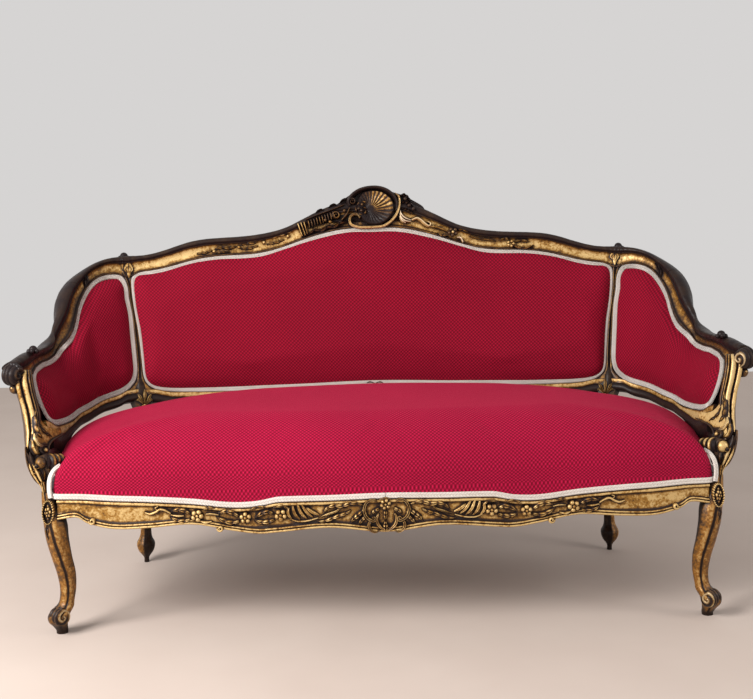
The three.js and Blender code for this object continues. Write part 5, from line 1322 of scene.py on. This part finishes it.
def front_rail_carving():
    """Flowers, leaves and scrolls along one half of the front rail, and its middle cartouche."""
    half = Carving(1.6)
    f = RAIL_FACE
    # C-scroll of the cartouche
    half.stroke(f, [(376.5, 501.8), (374.5, 499.6), (370.5, 499.8), (366.4, 502.6), (364.2, 507.6), (364.8, 513.4),
                    (368, 518), (372.4, 520.2)] + spiral((373.6, 518.4), 2.0, 1.0, 60, -1),
                [5, 6.5, 7.5, 7.5, 7, 6, 5, 4], [5, 8, 9, 9, 8, 7, 7], hollow=.45, steps=60)
    half.stroke(f, [(372.5, 519.4), (369.6, 522.2), (369, 526.2), (371.6, 530.4), (376, 531.6), (379.6, 529.4)],
                [5, 7, 7.5, 7, 5.5, 4], [6, 8, 8, 8, 6], hollow=.4)
    half.stroke(f, [(378.5, 513.5), (376.8, 518.5), (378.2, 524), (382, 527.8), (385.4, 529.8)], [4, 7, 8, 7, 5],
                [5, 8, 9, 8, 6], hollow=.35)
    half.stroke(f, [(379, 508.5), (374.4, 510.6), (371.6, 514.4)], [8, 9, 3], [5, 7, 3], lobes=2, vein=.4)
    # leaf that falls from the cartouche
    half.stroke(f, [(364.6, 508.2), (361.6, 512), (357.6, 515.6), (353.8, 518.6), (351.4, 522)], [4, 10, 13, 10, 3],
                [4, 8, 8.5, 7, 3], lobes=4, vein=.5)
    half.stroke(f, [(366, 511.6), (364.8, 516.4), (361.4, 520.4), (358.6, 524)], [3, 9, 10, 3], [4, 7, 7, 3], lobes=3,
                vein=.4)
    # fronds towards the flower
    half.stroke(f, [(363.4, 505.4), (356.6, 503), (349, 503.4), (342, 505.6), (334, 505.2), (327.6, 507.6),
                    (323.6, 512.4)], [3, 8, 11, 12, 11, 8, 3], [4, 7, 8, 8, 8, 7, 3], lobes=6, vein=.35)
    half.stroke(f, [(351, 510.4), (345, 513.4), (338.6, 515.4), (331.4, 518.4), (324.2, 520.8), (317.4, 521)],
                [3, 8, 10, 10, 7, 3], [3, 6.5, 7, 7, 6, 3], lobes=5, vein=.35)
    half.stroke(f, [(342, 506), (336, 511), (329, 513.4), (321, 516.6)], [3, 6, 6, 2], [4, 6, 6, 2], vein=.4)
    # palmette
    for x0, y0, x1, y1, x2, y2 in ((288.6, 507.6, 288.4, 513.6, 292.6, 519.4), (292.6, 505.4, 295, 513, 300, 519.2),
                                   (297.4, 504.4, 301.4, 512.4, 307.2, 518.6), (302, 505, 307.2, 511.8, 313, 517),
                                   (306.6, 507.6, 312, 511.4, 319, 514.6)):
        half.stroke(f, [(x0, y0), (x1, y1), (x2, y2)], [4, 9, 8, 3], [4, 9, 8, 3], hollow=.3)
    half.stroke(f, [(318.4, 517.6), (308, 520.4), (298, 521), (290, 518.6)], [3, 5, 5, 3], [3, 5, 5, 3])
    # flowers and leaves outwards
    for cx, cy, r, turn in ((281, 514.6, 15, .3), (245.6, 517.4, 14, .9), (197.4, 515.4, 15, .1)):
        half.petals(f, (cx, cy), (r * .26, r * .24), turn, r * .40, .55, .95)
        half.bead(f, (cx, cy), r * .28, 1.6, .7)
    for px, w, h, lobes in (
            ([(273.4, 513.4), (268, 511.6), (261.6, 513.4), (255.6, 517.4)], [4, 10, 10, 3], [4, 7.5, 7, 3], 3),
            ([(274.6, 519.4), (268.4, 521.4), (261.4, 521.8), (254.6, 519.6)], [4, 9, 9, 3], [4, 7, 6.5, 3], 3),
            ([(290.4, 511), (285.4, 506.6), (279.6, 505.6), (273.6, 508)], [3, 6, 6, 3], [3, 6, 6, 3], 2),
            ([(238.8, 516.2), (233, 512.4), (226, 511), (218.6, 512.8)], [4, 10, 10, 3], [4, 8, 7, 3], 3),
            ([(239.4, 521), (232, 522.4), (224, 520.6), (216.6, 516.4)], [4, 9, 9, 3], [4, 7, 6.5, 3], 3),
            ([(249.6, 511.2), (255, 507.4), (262, 506.8), (268, 508.6)], [3, 6, 6, 3], [3, 6, 5, 3], 2),
            ([(218.6, 514.6), (212, 513.4), (206, 513.8)], [3, 4, 3], [4, 5, 4], 0),
            ([(190, 513.4), (184.6, 510.4), (178, 509.4), (171.4, 511)], [4, 9, 9, 3], [4, 7, 7, 3], 3),
            ([(190.6, 519.4), (184, 520.8), (177, 519.8), (170.4, 516.6)], [4, 9, 9, 3], [4, 7, 6, 3], 3),
            ([(203.4, 509.6), (209, 507.4), (215, 508.2)], [3, 6, 3], [3, 6, 3], 2),
            ([(171, 513), (165, 509.8), (160, 509), (156, 511.6), (150.6, 513.6), (145, 512.4)], [4, 6, 7, 7, 6, 3],
             [5, 6, 7, 7, 6, 3], 0),
            ([(158.4, 510.2), (155.6, 507.6), (158.4, 506)], [4, 4, 3], [5, 6, 5], 0),
            ([(212, 521), (205.6, 522.4), (200, 520.4)], [3, 8, 3], [3, 6, 3], 0),
            ([(184, 515.4), (178, 515.6), (171, 514.6)], [4, 7, 3], [4, 6, 3], 0)):
        half.stroke(f, px, np.array(w) * (1.3 if lobes else 1.), np.array(h) * 1.1, lobes=lobes,
                    vein=.4 if lobes else 0, lobe_depth=.24)
    # volutes where the lower mouldings meet
    half.shade_bed = 0.
    for cx, cy, r in ((92.6, 520.6, 3.2), (220.6, 527.8, 3.)):
        half.stroke(f, spiral((cx, cy), r, 1.3, 180, -1), [8, 8, 7, 5, 3], [8, 10, 10, 11, 11], sink=.012, tone=1.1)
    half.build("front_rail_flowers_left")
    half.build("front_rail_flowers_right", mirror=True)
    middle = Carving()
    middle.blossom(f, (385.4, 503.8), 12.5, 6, 9., turn=.3)
    middle.stroke(f, [(385.5, 510.4), (385.5, 515), (385.5, 520.4)], [6, 12, 8, 3], [5, 10, 9, 4], lobes=2, vein=.5)
    middle.stroke(f, [(385.5, 521), (385.5, 526), (385.5, 531.6)], [5, 13, 14, 6], [5, 9, 9, 4], lobes=3, vein=.45)
    middle.stroke(f, [(379.6, 499.4), (385.4, 497.8), (391.2, 499.4)], [3, 7, 3], [4, 7, 4], hollow=.4)
    middle.build("front_rail_cartouche")


front_rail_carving()


def crest_carving():
    """The shell, its leaves and the sprigs of the crest, and the small carving of the stiles and lower rail."""
    f = SHELL_FACE
    body = Carving()
    outline = [(-.186, .936), (-.170, .944), (-.148, .9545), (-.108, .967), (-.076, .9885), (-.045, 1.0065),
               (-.008, 1.0155), (.034, 1.016), (.064, 1.004), (.089, .996), (.124, .979), (.15, .96), (.145, .935),
               (.07, .924), (-.07, .924), (-.19, .918)]
    loop = closed_catmull(np.array(outline), np.arange(0, len(outline), .2))
    centre = np.array([0., .955])
    rings, tones = [], []
    for scale, rise, tone in ((.9, -24, .1), (.975, -22, .1), (1., -14, .08), (1.003, 4, .08), (.992, 10, .12),
                              (.965, 12.5, .15), (.90, 11, .1), (.84, 8.5, .15), (.5, 8., .3), (.06, 8., .3)):
        xz = centre + (loop - centre) * scale
        uv = settle(np.column_stack([xz[:, 0] / .225, np.ones(len(xz))]), xz,
                    lambda at: surf(at[:, 0], at[:, 1])[:, [0, 2]], 14, np.inf)
        fade = 1 - smooth_step(np.abs(xz[:, 0] + .026), .105, .17)
        rings.append(off(uv[:, 0], uv[:, 1], rise / 1000 * (fade if rise > 0 else 1)))
        tones.append(np.full(len(uv), tone))
    body.tube(np.array(rings), np.array(tones))
    body.build("crest_shell_body", replaced=["crest_shell"])

    work = Carving()
    # the fluted dish
    dish = np.array([(357, 205), (359.4, 197.8), (364, 193), (371.4, 191), (380.6, 191.8), (388.4, 196.2),
                     (393.2, 203), (393.6, 210.6), (390, 218), (383.6, 223.6), (375.6, 225.8), (367.6, 224.2),
                     (361.8, 219.4), (358, 212)])
    count = 132
    loop = closed_catmull(dish, np.linspace(0, len(dish), count, endpoint=False))
    heart = np.array([369.6, 209.4])
    turn = np.arctan2(*(loop - heart).T[::-1])
    rings, tones = [], []
    for s, z in ((.03, 9.5), (.12, 10.5), (.22, 9.4), (.34, 8.8), (.48, 9.2), (.62, 10.4), (.74, 12.2), (.84, 14.4),
                 (.92, 15.6), (.97, 13), (1., 8)):
        p, n = f(heart + (loop - heart) * s)
        flute = np.abs(np.sin(turn * 14 + 2.2 * s)) ** .8
        depth = 3.2 * math.sin(math.pi * min(1, max(0, (s - .16) / .82))) if s > .16 else 0
        rings.append(p + n * ((z + depth * (flute - .6)) / 1000)[:, None])
        side_light = .5 + .5 * np.cos(turn + .75)
        tones.append(-.06 + (.10 + .80 * side_light ** 3) * flute * (s > .2) * (s < .93))
    p, n = f(loop)
    rings.append(p - n * .012)
    tones.append(np.zeros(count))
    work.tube(np.array(rings), np.array(tones))
    # dark roll round the dish
    work.stroke(f, [(349.8, 206.6), (348.8, 201.4), (352.6, 195.8), (359.4, 191), (368, 188.6), (377.6, 188.4),
                    (386.2, 191), (393, 196.4), (396.4, 203.4), (396, 211)], [12, 15, 14, 13, 13, 13, 13, 12, 11, 8],
                [16, 20, 21, 21, 21, 21, 21, 20, 18, 12], tone=.1, steps=70)
    work.stroke(f, spiral((352.4, 202.6), 3.6, 1.5, 200, 1), [8, 7, 6, 5, 4], [18, 20, 21, 22, 24], tone=.4)
    # the snail of the dish
    work.stroke(f, [(366.4, 203.4), (361.4, 202.6), (357, 206.2), (356.6, 211.6), (360.4, 215.4), (365, 213.8),
                    (365.8, 209.6), (362.6, 208.2)], [9, 9, 9, 9, 8, 7, 6, 4], [14, 16, 17, 17, 17, 18, 18, 19],
                tone=.6, lobes=6, lobe_depth=.15)
    work.beads(f, [(358.6, 209.8), (362, 205.6), (361.4, 211.6)], 4.2, 3.6, .4)
    # C-scroll below, made pale by a painted highlight
    work.stroke(f, [(360.2, 218.4), (358.2, 215.6), (354.4, 214.8), (350.8, 217.2), (349.8, 221), (351.6, 225.2),
                    (358.4, 227.6), (366, 227.8), (375, 227.4), (383.4, 226.2), (390.6, 221.6), (396.2, 214.6),
                    (399, 205.6), (398.4, 197.4), (394.8, 193.6)], [4, 5, 6, 7, 8, 8, 8, 8, 8, 8, 8, 7, 5],
                [24, 23, 22, 21, 20, 18, 16, 15, 16, 17, 17, 16, 12], hollow=.3, tone=1.42, steps=110)
    # reeded band and its leaf on the left
    for (x0, y0), (x1, y1) in (((298.2, 224.4), (302.6, 236.4)), ((301.2, 223.4), (305.6, 235.6)),
                               ((304.2, 222.6), (307.6, 234.4))):
        work.stroke(f, [(x0, y0), ((x0 + x1) / 2, (y0 + y1) / 2), (x1, y1)], 5.5, [11, 13, 11], tone=.68)
    for i in range(10):
        x, y = 308.6 + i * 2.72, 221.6 - i * 1.02
        work.stroke(f, [(x, y), (x + .9, y + 3.4), (x + 1.4, y + 6.6)], [5, 6, 4], [13, 14, 11], tone=.5)
    work.stroke(f, [(306, 220.6), (318, 215.8), (331, 211), (344, 205.8)], [4, 5, 5, 4], [15, 16, 16, 16], tone=.3,
                steps=30)
    work.stroke(f, [(309.6, 233.4), (315, 230.2), (321.4, 230.4), (327.6, 226.8), (334, 226.6), (340.4, 222.8),
                    (347.4, 222.4)], [4, 9, 10, 11, 11, 10, 4], [10, 13, 13, 14, 14, 13, 10], lobes=6, vein=.4,
                tone=.5)
    work.stroke(f, spiral((336.4, 216.2), 4.4, 1.5, 160, 1), [7, 7, 6, 5, 4], [13, 14, 15, 15, 16], tone=.5)
    work.stroke(f, [(342, 220.6), (347, 214.6), (349.8, 208.4)], [5, 7, 4], [13, 15, 13], tone=.5)
    work.beads(f, [(325.6, 220.8), (344.6, 211.6), (330.4, 222.6)], 4.6, 2.4, .45)
    for x, y in ((320.6, 211.4), (333.4, 206.2), (344.8, 200.8)):
        work.stroke(f, [(x - 4.6, y + 1.8), (x - 1.6, y - .8), (x + 1.4, y - 1.4), (x + 4.2, y - .2)], [4, 8, 7, 3],
                    [8, 12.5, 11.5, 8], lobes=2, vein=.4, tone=.22, lobe_depth=.2)
    # leaves to the right of the dish
    work.strokes(f, (
            ([(399.4, 196.4), (403.6, 195.4), (407.6, 198.4), (411.4, 203)], [5, 12, 12, 4], [14, 17, 16, 9]),
            ([(401.4, 202.4), (406.6, 203), (411.6, 206.4), (416, 211.4)], [5, 12, 12, 4], [13, 17, 15, 9]),
            ([(401.4, 208.4), (405.4, 209.4), (409.4, 211.4), (413.4, 214.4)], [5, 10, 9, 3], [12, 14, 12, 8])),
                 lobes=4, vein=.5, tone=.35)
    work.beads(f, [(404.6, 199.8), (408.6, 206.4), (412.6, 209.8)], 5., 2.6, .25)
    # these pale strokes and the curl after them carry a painted highlight
    for px in ([(399.8, 210.6), (401.2, 215), (405.2, 218.6), (410.8, 220.4)],
               [(399.6, 213.6), (401, 218), (405, 221.2), (410.6, 221.8)],
               [(399.4, 216.6), (401.6, 220.8), (405.6, 223.2)]):
        work.stroke(f, px, [3, 6, 6, 3], [9, 13, 12, 8], tone=1.5)
    work.stroke(f, [(411.4, 220.4), (416.4, 218.6), (420.6, 220.4), (424.4, 223.8), (428.8, 226.4), (430.2, 223.6),
                    (427.2, 222)], [5, 8, 8, 8, 6, 5, 4], [9, 12, 12, 12, 11, 10, 9], tone=1.3, steps=50)
    work.stroke(f, [(428.4, 226.6), (436, 227.4), (444, 230.2), (450, 232.8)], [4, 4, 4, 4], [8, 7, 7, 6], tone=.7)
    work.petals(f, (452.6, 232.6), (3.4, 3.), .4, 5.6, .9, .42)
    # the button and the small leaf below it carry a painted highlight
    work.bead(f, (452.6, 232.6), 4., 2.4, 1.2)
    work.stroke(f, [(457, 237.6), (460.6, 238.2), (463, 242.4)], [3, 6, 4], [7, 10, 7], tone=1.5)
    work.strokes(f, (([(458.4, 229.6), (463.6, 230), (468.6, 233)], [4, 7, 3], [6, 8, 4]),
                     ([(446.8, 235.4), (442, 235.6), (437.6, 232.8)], [3, 7, 3], [5, 7, 4]),
                     ([(470, 236.4), (478, 238.6), (487, 239.6), (496, 241)], [3, 4, 4, 3], [5, 6, 6, 5]),
                     ([(500, 240.4), (505.4, 238.4), (509, 241)], [4, 8, 4], [6, 8, 6]),
                     ([(514, 245.6), (520, 248), (527, 247.4), (534, 245)], [4, 8, 8, 3], [6, 8, 7, 4]),
                     ([(514.6, 241.6), (522, 240.4), (529, 241.8)], [4, 7, 3], [6, 7, 4])), lobes=2, vein=.3, tone=.8)
    work.petals(f, (510.6, 244), (2.6, 2.2), 0., 4.4, 1., .8)
    # sprigs on the left rail
    f, work.shade_bed = BACK_FACE, 1.4
    for px, w, h in (([(292, 231.6), (285, 234.2), (277, 236.6), (268, 239.6)], [3, 8, 8, 3], [6, 8, 8, 4]),
                     ([(284, 239.6), (276, 242.6), (267, 244.6)], [3, 7, 3], [5, 7, 4]),
                     ([(262, 240.4), (254, 243), (246, 243.6), (239, 246.4)], [3, 7, 7, 3], [5, 8, 7, 4]),
                     ([(258, 246), (249, 248.4), (241, 249)], [3, 7, 3], [5, 7, 4]),
                     ([(236, 246.8), (229, 248.6), (222, 247.6), (215, 249.8)], [3, 8, 8, 3], [5, 8, 8, 4]),
                     ([(230, 252), (223, 252.4), (216, 253.8)], [3, 6, 3], [5, 7, 4]),
                     ([(212, 250.6), (204, 253.4), (197, 253.6)], [3, 6, 3], [5, 7, 4])):
        work.stroke(f, px, np.array(w) * 1.35, np.array(h) * 1.15, lobes=3, vein=.35, tone=.8)
    work.beads(f, [(264, 242.8), (239, 247.6), (214, 251.8), (288, 236.6)], 4.4, 1.2, .7)
    # kite leaves over the stiles, leaves on the shoulders and palmettes under the stiles
    work.shade_bed = 0.
    for (x, y), lean in (((128.2, 269.4), 1), ((614.6, 256.6), -1)):
        kite = np.array([(0, -8.2), (2.6, -4.6), (4.8, .4), (2.4, 4.2), (.4, 9.4), (-1.8, 4.2), (-4.8, .4),
                         (-2.6, -4.6)])
        # a wider dark plate under the kite leaf gives painted shade round it
        work.plate(f, (x, y) + kite * 1.22, (x, y - .4), 1.4, 3, -.2)
        work.plate(f, (x, y) + kite, (x, y - .4), 6, 3, .8)
        work.stroke(f, [(x, y - 6.6), (x, y - 1), (x + .3 * lean, y + 6.4)], [1.5, 3, 1.5], [7.4, 8.4, 6], tone=-.1)
        for d in (-1, 1):
            work.stroke(f, [(x + .6 * d, y - 2.4), (x + 2.8 * d, y + .2), (x + 1.2 * d, y + 4.6)], [1.5, 2.5, 1.5],
                        [7.6, 8.2, 7.2], tone=.0)
    work.shade_bed = 1.4
    for line in ([(83.4, 272.4), (84.6, 276.4), (85.2, 281.6), (84.4, 288)],
                 [(655.8, 263), (658.8, 266.6), (661.2, 272.6), (661.6, 279)]):
        work.stroke(f, line, [6, 17, 15, 5], [8, 12, 11, 5], lobes=3, vein=.5, tone=.22)
    for x, y, lean in ((144.4, 398.2, 1), (605.6, 387.4, -1)):
        work.shade_bed = 0.
        work.stroke(f, [(x - lean, y + dy) for dy in (-13, -6, 2, 11)], [14, 46, 66, 44], [3.4, 3.6, 3.6, 3],
                    sink=.026, tone=.42, steps=24)
        work.shade_bed = 1.
        for dx, dy, w in ((-8.2, 2.8, 9), (8.2, 2.8, 9), (-6.6, -3.6, 11), (6.6, -3.6, 11), (0, -8.4, 13)):
            work.stroke(f, [(x + dx * .1, y + 7), (x + dx * .7, y + 1 + dy * .4), (x + dx, y + dy)], [3, w, 4],
                        [7, 12, 7], vein=.5, tone=1.1)
        work.stroke(f, [(x - 3.4, y + 8.4), (x, y + 7), (x + 3.4, y + 8.4)], [3, 7, 3], [6, 11, 6], tone=.7)
    # small leaf at the middle of the lower rail
    for side in (-1, 1):
        work.stroke(f, [(375, 383.6), (375 + 4.6 * side, 382), (375 + 9.6 * side, 383.4)], [3, 6, 3], [5, 8, 4],
                    lobes=2, vein=.4, tone=.7)
    work.build("crest_carving")


crest_carving()


def plane_carrier(y, normal=(0., -1., 0.)):
    """Places picture points on an upright plane across the view."""
    def place(px):
        d = rays(np.atleast_2d(np.asarray(px, float)))
        return CAM + d * ((y + SHIFT[1] - CAM[1]) / d[:, 1])[:, None], np.tile(unit(np.array(normal)), (len(d), 1))
    return place


def sloped_carrier(*anchors):
    """Places picture points on a plane through three anchors, each a picture point with its y."""
    a, b, c = (plane_carrier(y)(np.array([px], float))[0][0] for px, y in anchors)
    normal = unit(np.cross(b - a, c - a))
    normal = normal if normal[1] < 0 else -normal

    def place(px):
        d = rays(np.atleast_2d(np.asarray(px, float)))
        return CAM + d * (np.dot(a - CAM, normal) / (d @ normal))[:, None], np.tile(normal, (len(d), 1))
    return place


def arm_carving(mirror):
    """Spandrel, knob, cuff and oval of an arm front, and the drop below its scroll."""
    tag = "right" if mirror else "left"
    work = Carving()
    f = plane_carrier(-.300, (-.2, -.98, 0.))
    # spandrel between the support and the side rail
    v = sloped_carrier(((32, 405), -.238), ((64, 430), -.178), ((40, 458), -.292))
    # the plate is painted lighter on the right arm than on the left: painted light and painted shade
    work.plate(v, [(35, 404), (37.6, 412), (41, 420.4), (46.6, 426.2), (53, 428.2), (59, 427.6), (61.4, 429.4),
                   (60.4, 434.6), (56, 438.2), (51.4, 440.8), (48.4, 445), (47.4, 452), (45, 458), (39, 459),
                   (35.6, 453), (35, 444), (35.8, 432), (35.6, 420), (34, 410)], (42, 437), 2.0, 15,
               1.0 if mirror else .62)
    work.stroke(v, [(46.6, 457), (46.8, 449), (48.8, 443.6), (52.6, 440), (58.6, 436.6), (64.4, 433)],
                [5, 7, 7, 7, 6, 3], [5, 8, 8, 8, 6, 1], sink=.014, tone=.3, steps=40)
    # leaves and volute of the spandrel
    work.shade_bed = 1.2
    work.stroke(v, [(34.4, 408), (34.6, 418), (35.6, 427), (37.6, 434), (41.6, 438.4)], [4, 9, 13, 12, 5],
                [3, 7, 9, 9, 5], lobes=4, vein=.5, tone=.72, lobe_depth=.22)
    work.stroke(v, [(38.6, 423), (41.6, 429.6), (46, 434), (51, 436.6)], [4, 10, 10, 4], [4, 7, 7, 5], lobes=3,
                vein=.45, tone=.5)
    # this leaf's pale tone is a painted highlight
    work.stroke(v, [(33.6, 434), (34.2, 440.4), (37.8, 445.6), (43, 446.4)], [4, 10, 10, 4], [4, 8, 8, 5], vein=.4,
                tone=1.3)
    work.stroke(v, [(31.6, 441), (32.2, 447.6), (35.4, 452.8), (39.4, 455)], [4, 9, 10, 4], [4, 8, 8, 5], vein=.4,
                tone=.85)
    work.shade_bed = 0.
    work.stroke(v, spiral((43.6, 451), 6.2, 1.25, 300, -1), [9, 9, 9, 8, 7, 6], [6, 8, 10, 10, 10, 11], tone=.35,
                hollow=.3, steps=60)
    work.bead(v, (43.8, 451), 7., .5, .8)
    # knob and volute below, with the rim round them
    work.plate(f, [(26, 450), (26.6, 457), (28.4, 464), (31, 471), (35.2, 478), (39.8, 483), (44.2, 484.6),
                   (48.8, 482), (50.6, 476), (50.6, 468), (49, 459), (44, 455), (38, 457), (34, 460.6), (30, 457)],
               (41, 469), 5, 20, .34)
    work.stroke(f, [(25.8, 447), (27, 455.6), (29.2, 464.6), (32.6, 473), (37, 479.8), (42.6, 484), (47.6, 482.6),
                    (50.2, 477.4), (50, 470.6)], [4, 6, 7, 7, 7, 7, 7, 6, 4], [5, 8, 10, 10, 10, 10, 10, 9, 6],
                tone=.4, steps=60)
    work.stroke(f, [(30.4, 452), (32.4, 459), (36.2, 464.6), (39.6, 467.4)], [4, 9, 9, 4], [6, 10, 11, 7], tone=.22)
    work.stroke(f, spiral((37.4, 473.4), 4.9, 1.4, 200, 1), [6.5, 6.5, 6, 5, 4], [9, 11, 12, 13, 14], tone=.6,
                steps=44)
    work.stroke(f, [(44.4, 468.6), (46, 473.4), (45.4, 478.4), (42.6, 481.4)], [5, 9, 8, 4], [9, 14, 13, 9], tone=.5,
                vein=.3)
    # the knob is painted pale on the right and dark on the left: painted highlight and painted shade
    work.bead(f, (41.6, 462.6), 14.5, .2, .98 if mirror else .45)
    # a dark bead stands in for the shade in the volute's eye hole: painted shade
    work.bead(f, (39.4, 464.6), 4.6, 3.3, -.4)
    work.stroke(f, spiral((39.4, 464.6), 3.1, 1., 20, 1), [3, 3.4, 3.4, 3], [17, 19, 19, 18], tone=.7, steps=34)
    # turned cuff with three rings beside the seat
    ends = [f(np.array([[45.6, 462.6]]))[0][0], plane_carrier(-.258)(np.array([[65.4, 461.4]]))[0][0]]
    axis = unit(ends[1] - ends[0])
    lift = unit(np.array([0, 0, 1.]) - axis * axis[2])
    face_out = np.cross(axis, lift)
    phi = np.linspace(0, 2 * np.pi, 26, endpoint=False)
    t = np.linspace(0, 1, 64)
    bump = np.abs(np.sin(np.pi * np.clip((t - .12) / .72, 0, 1) * 3)) ** .55
    radius = (.0150 + .0062 * bump) * (1 - .14 * t) * np.sqrt(np.clip(1 - np.maximum(0, (t - .9) / .1) ** 2, .02, 1))
    rings = (ends[0] + (ends[1] - ends[0]) * t[:, None])[:, None] + radius[:, None, None] * (
        lift * np.cos(phi)[:, None] + face_out * np.sin(phi)[:, None])
    # the crests of the rings carry a painted highlight, paler on the right cuff
    work.tube(rings, (-.25 + (1.25 if mirror else .95) * bump ** 2)[:, None])
    # neck
    work.stroke(plane_carrier(-.318), [(42.6, 482.4), (44, 488.6), (44.6, 494), (44.4, 500)], [9, 8, 7, 8],
                [5, 5, 5, 5], tone=.85,
                vein=.8)
    # oval on the knee with its rope edge, rosette and leaf
    knee = plane_carrier(-.337, (-.25, -.97, 0.))
    oval = (48.4, 512.2)
    work.blossom(knee, oval, 12.5, 2, .5, turn=math.pi / 2, tone=.1, squash=2.1)
    loop = [(oval[0] + 5.4 * math.sin(a), oval[1] - 11.6 * math.cos(a)) for a in np.linspace(0, 2 * math.pi, 17)]
    work.stroke(knee, loop, 4.6, 6.5, lobes=26, lobe_depth=.25, tone=1.15)
    work.blossom(knee, oval, 8.4, 6, 7.5, turn=.2, tone=.85, squash=1.5)
    for y in (504.4, 520.):
        work.stroke(knee, [(48.4, y), (48.4, y + (2.6 if y < oval[1] else -2.6))], [3, 8, 4], [3, 5, 3], tone=.7)
    work.stroke(knee, [(48.4, 523), (47.4, 529), (48.4, 535), (50.6, 541.6), (51.4, 546)], [8, 13, 12, 9, 3],
                [3, 6, 6, 5, 1], lobes=4, vein=.5, tone=.55, sink=.02)
    # drop below the arm scroll
    drop = plane_carrier(-.222, (-.2, -.98, 0.))
    work.bead(drop, (14.6, 388.8), 13, -.1, .40)
    work.bead(drop, (21.2, 387.4), 12, -.4, .12, 1.2)
    work.bead(drop, (13.6, 387.4), 3.5, 2.6, .9)
    work.build("arm_carving_" + tag, mirror=mirror)


for mirrored_side in (False, True):
    arm_carving(mirrored_side)


def buds():
    """Small round buds on top of the rails."""
    for name, centre, size in (("crest", (.699, .384, .842), .0115), ("arm", (.850, -.118, .655), .0105)):
        for side, tag in SIDES:
            work = Carving()
            c = np.array(centre) * (side, 1, 1) + SHIFT
            for *place, r in ((0, 0, 0, 1.), (-.9, -.3, -.35, .62), (.9, -.3, -.35, .62), (0, -1.0, -.2, .6)):
                rings = np.array([c + np.array(place) * size + r * size * np.column_stack(
                    [np.sin(x) * np.cos(BALL_TURN), np.sin(x) * np.sin(BALL_TURN),
                     np.full(len(BALL_TURN), math.cos(x))]) for x in BALL_FALL])
                work.tube(rings, .12)
            work.build("%s_bud_%s" % (name, tag), GILT_DARK)


buds()


# ---- what keeps its CAD shape -----------------------------------------------
KEPT = {"seat_webbing": JUTE, "seat_springs": WIRE}
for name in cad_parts:
    hidden_wood = any(word in name for word in ("dowel", "block", "bearer"))
    if name in KEPT or hidden_wood:
        materials = bpy.data.objects[name].data.materials
        materials.clear()
        materials.append(BEECH if hidden_wood else KEPT[name])


# ---- camera, light and floor ------------------------------------------------
def camera():
    """The camera that the picture was taken with."""
    data = bpy.data.cameras.new("picture")
    data.sensor_width = 36.
    data.lens = data.sensor_width * FOCAL / PICTURE_WIDTH
    obj = bpy.data.objects.new("picture", data)
    axes = Matrix([AXES[0], -AXES[1], -AXES[2]]).transposed()
    obj.matrix_world = Matrix.Translation(Vector(CAM)) @ axes.to_4x4()
    bpy.context.scene.collection.objects.link(obj)
    bpy.context.scene.camera = obj


def area(name, place, target, size, power, colour):
    """A rectangular light that faces a target."""
    data = bpy.data.lights.new(name, "AREA")
    data.shape, data.size, data.size_y = "RECTANGLE", size[0], size[1]
    data.energy, data.color = power, colour
    obj = bpy.data.objects.new(name, data)
    obj.location = place
    obj.rotation_euler = (Vector(target) - Vector(place)).to_track_quat("-Z", "Y").to_euler()
    bpy.context.scene.collection.objects.link(obj)


camera()
area("window", (-2.35, -1.9, 2.05), (.1, 0, .5), (1.5, 1.5), 158, (1, .985, .965))
area("room", (1.2, -3.6, 2.4), (.2, 0, .5), (2.4, 2.4), 10, (1, .96, .92))
area("far_window", (3.0, -1.25, 1.55), (-.6, -.1, .5), (1.1, 1.1), 22, (1, .97, .94))
# the background lights the sofa; the camera and reflections see a plain pale wall
world = bpy.data.worlds.new("room")
bpy.context.scene.world = world
world.use_nodes = True
tree = world.node_tree
background = tree.nodes["Background"]
background.inputs["Color"].default_value = srgb(222, 220, 218)
background.inputs["Strength"].default_value = .76
plain = tree.nodes.new("ShaderNodeBackground")
plain.inputs["Color"].default_value = srgb(214, 212, 211)
light_path = tree.nodes.new("ShaderNodeLightPath")
mixed = tree.nodes.new("ShaderNodeMixShader")
seen = tree.nodes.new("ShaderNodeMath")
seen.operation = "MAXIMUM"
tree.links.new(light_path.outputs["Is Camera Ray"], seen.inputs[0])
tree.links.new(light_path.outputs["Is Glossy Ray"], seen.inputs[1])
tree.links.new(seen.outputs[0], mixed.inputs[0])
tree.links.new(background.outputs[0], mixed.inputs[1])
tree.links.new(plain.outputs[0], mixed.inputs[2])
tree.links.new(mixed.outputs[0], tree.nodes["World Output"].inputs["Surface"])

floor_mesh = bpy.data.meshes.new("floor")
floor_mesh.from_pydata([(-30, -30, 0), (30, -30, 0), (30, 2.9, 0), (-30, 3.3, 0)], [], [(0, 1, 2, 3)])
floor = bpy.data.objects.new("floor", floor_mesh)
bpy.context.scene.collection.objects.link(floor)
paint = Nodes("floor_paint")
mottle = paint.noise(3., 3.)
floor_mesh.materials.append(paint.surface(
    base_color=paint.ramp(mottle, (.2, (192, 176, 166)), (.8, (200, 185, 175))), roughness=.8))

bpy.context.scene.view_settings.view_transform = "Standard"
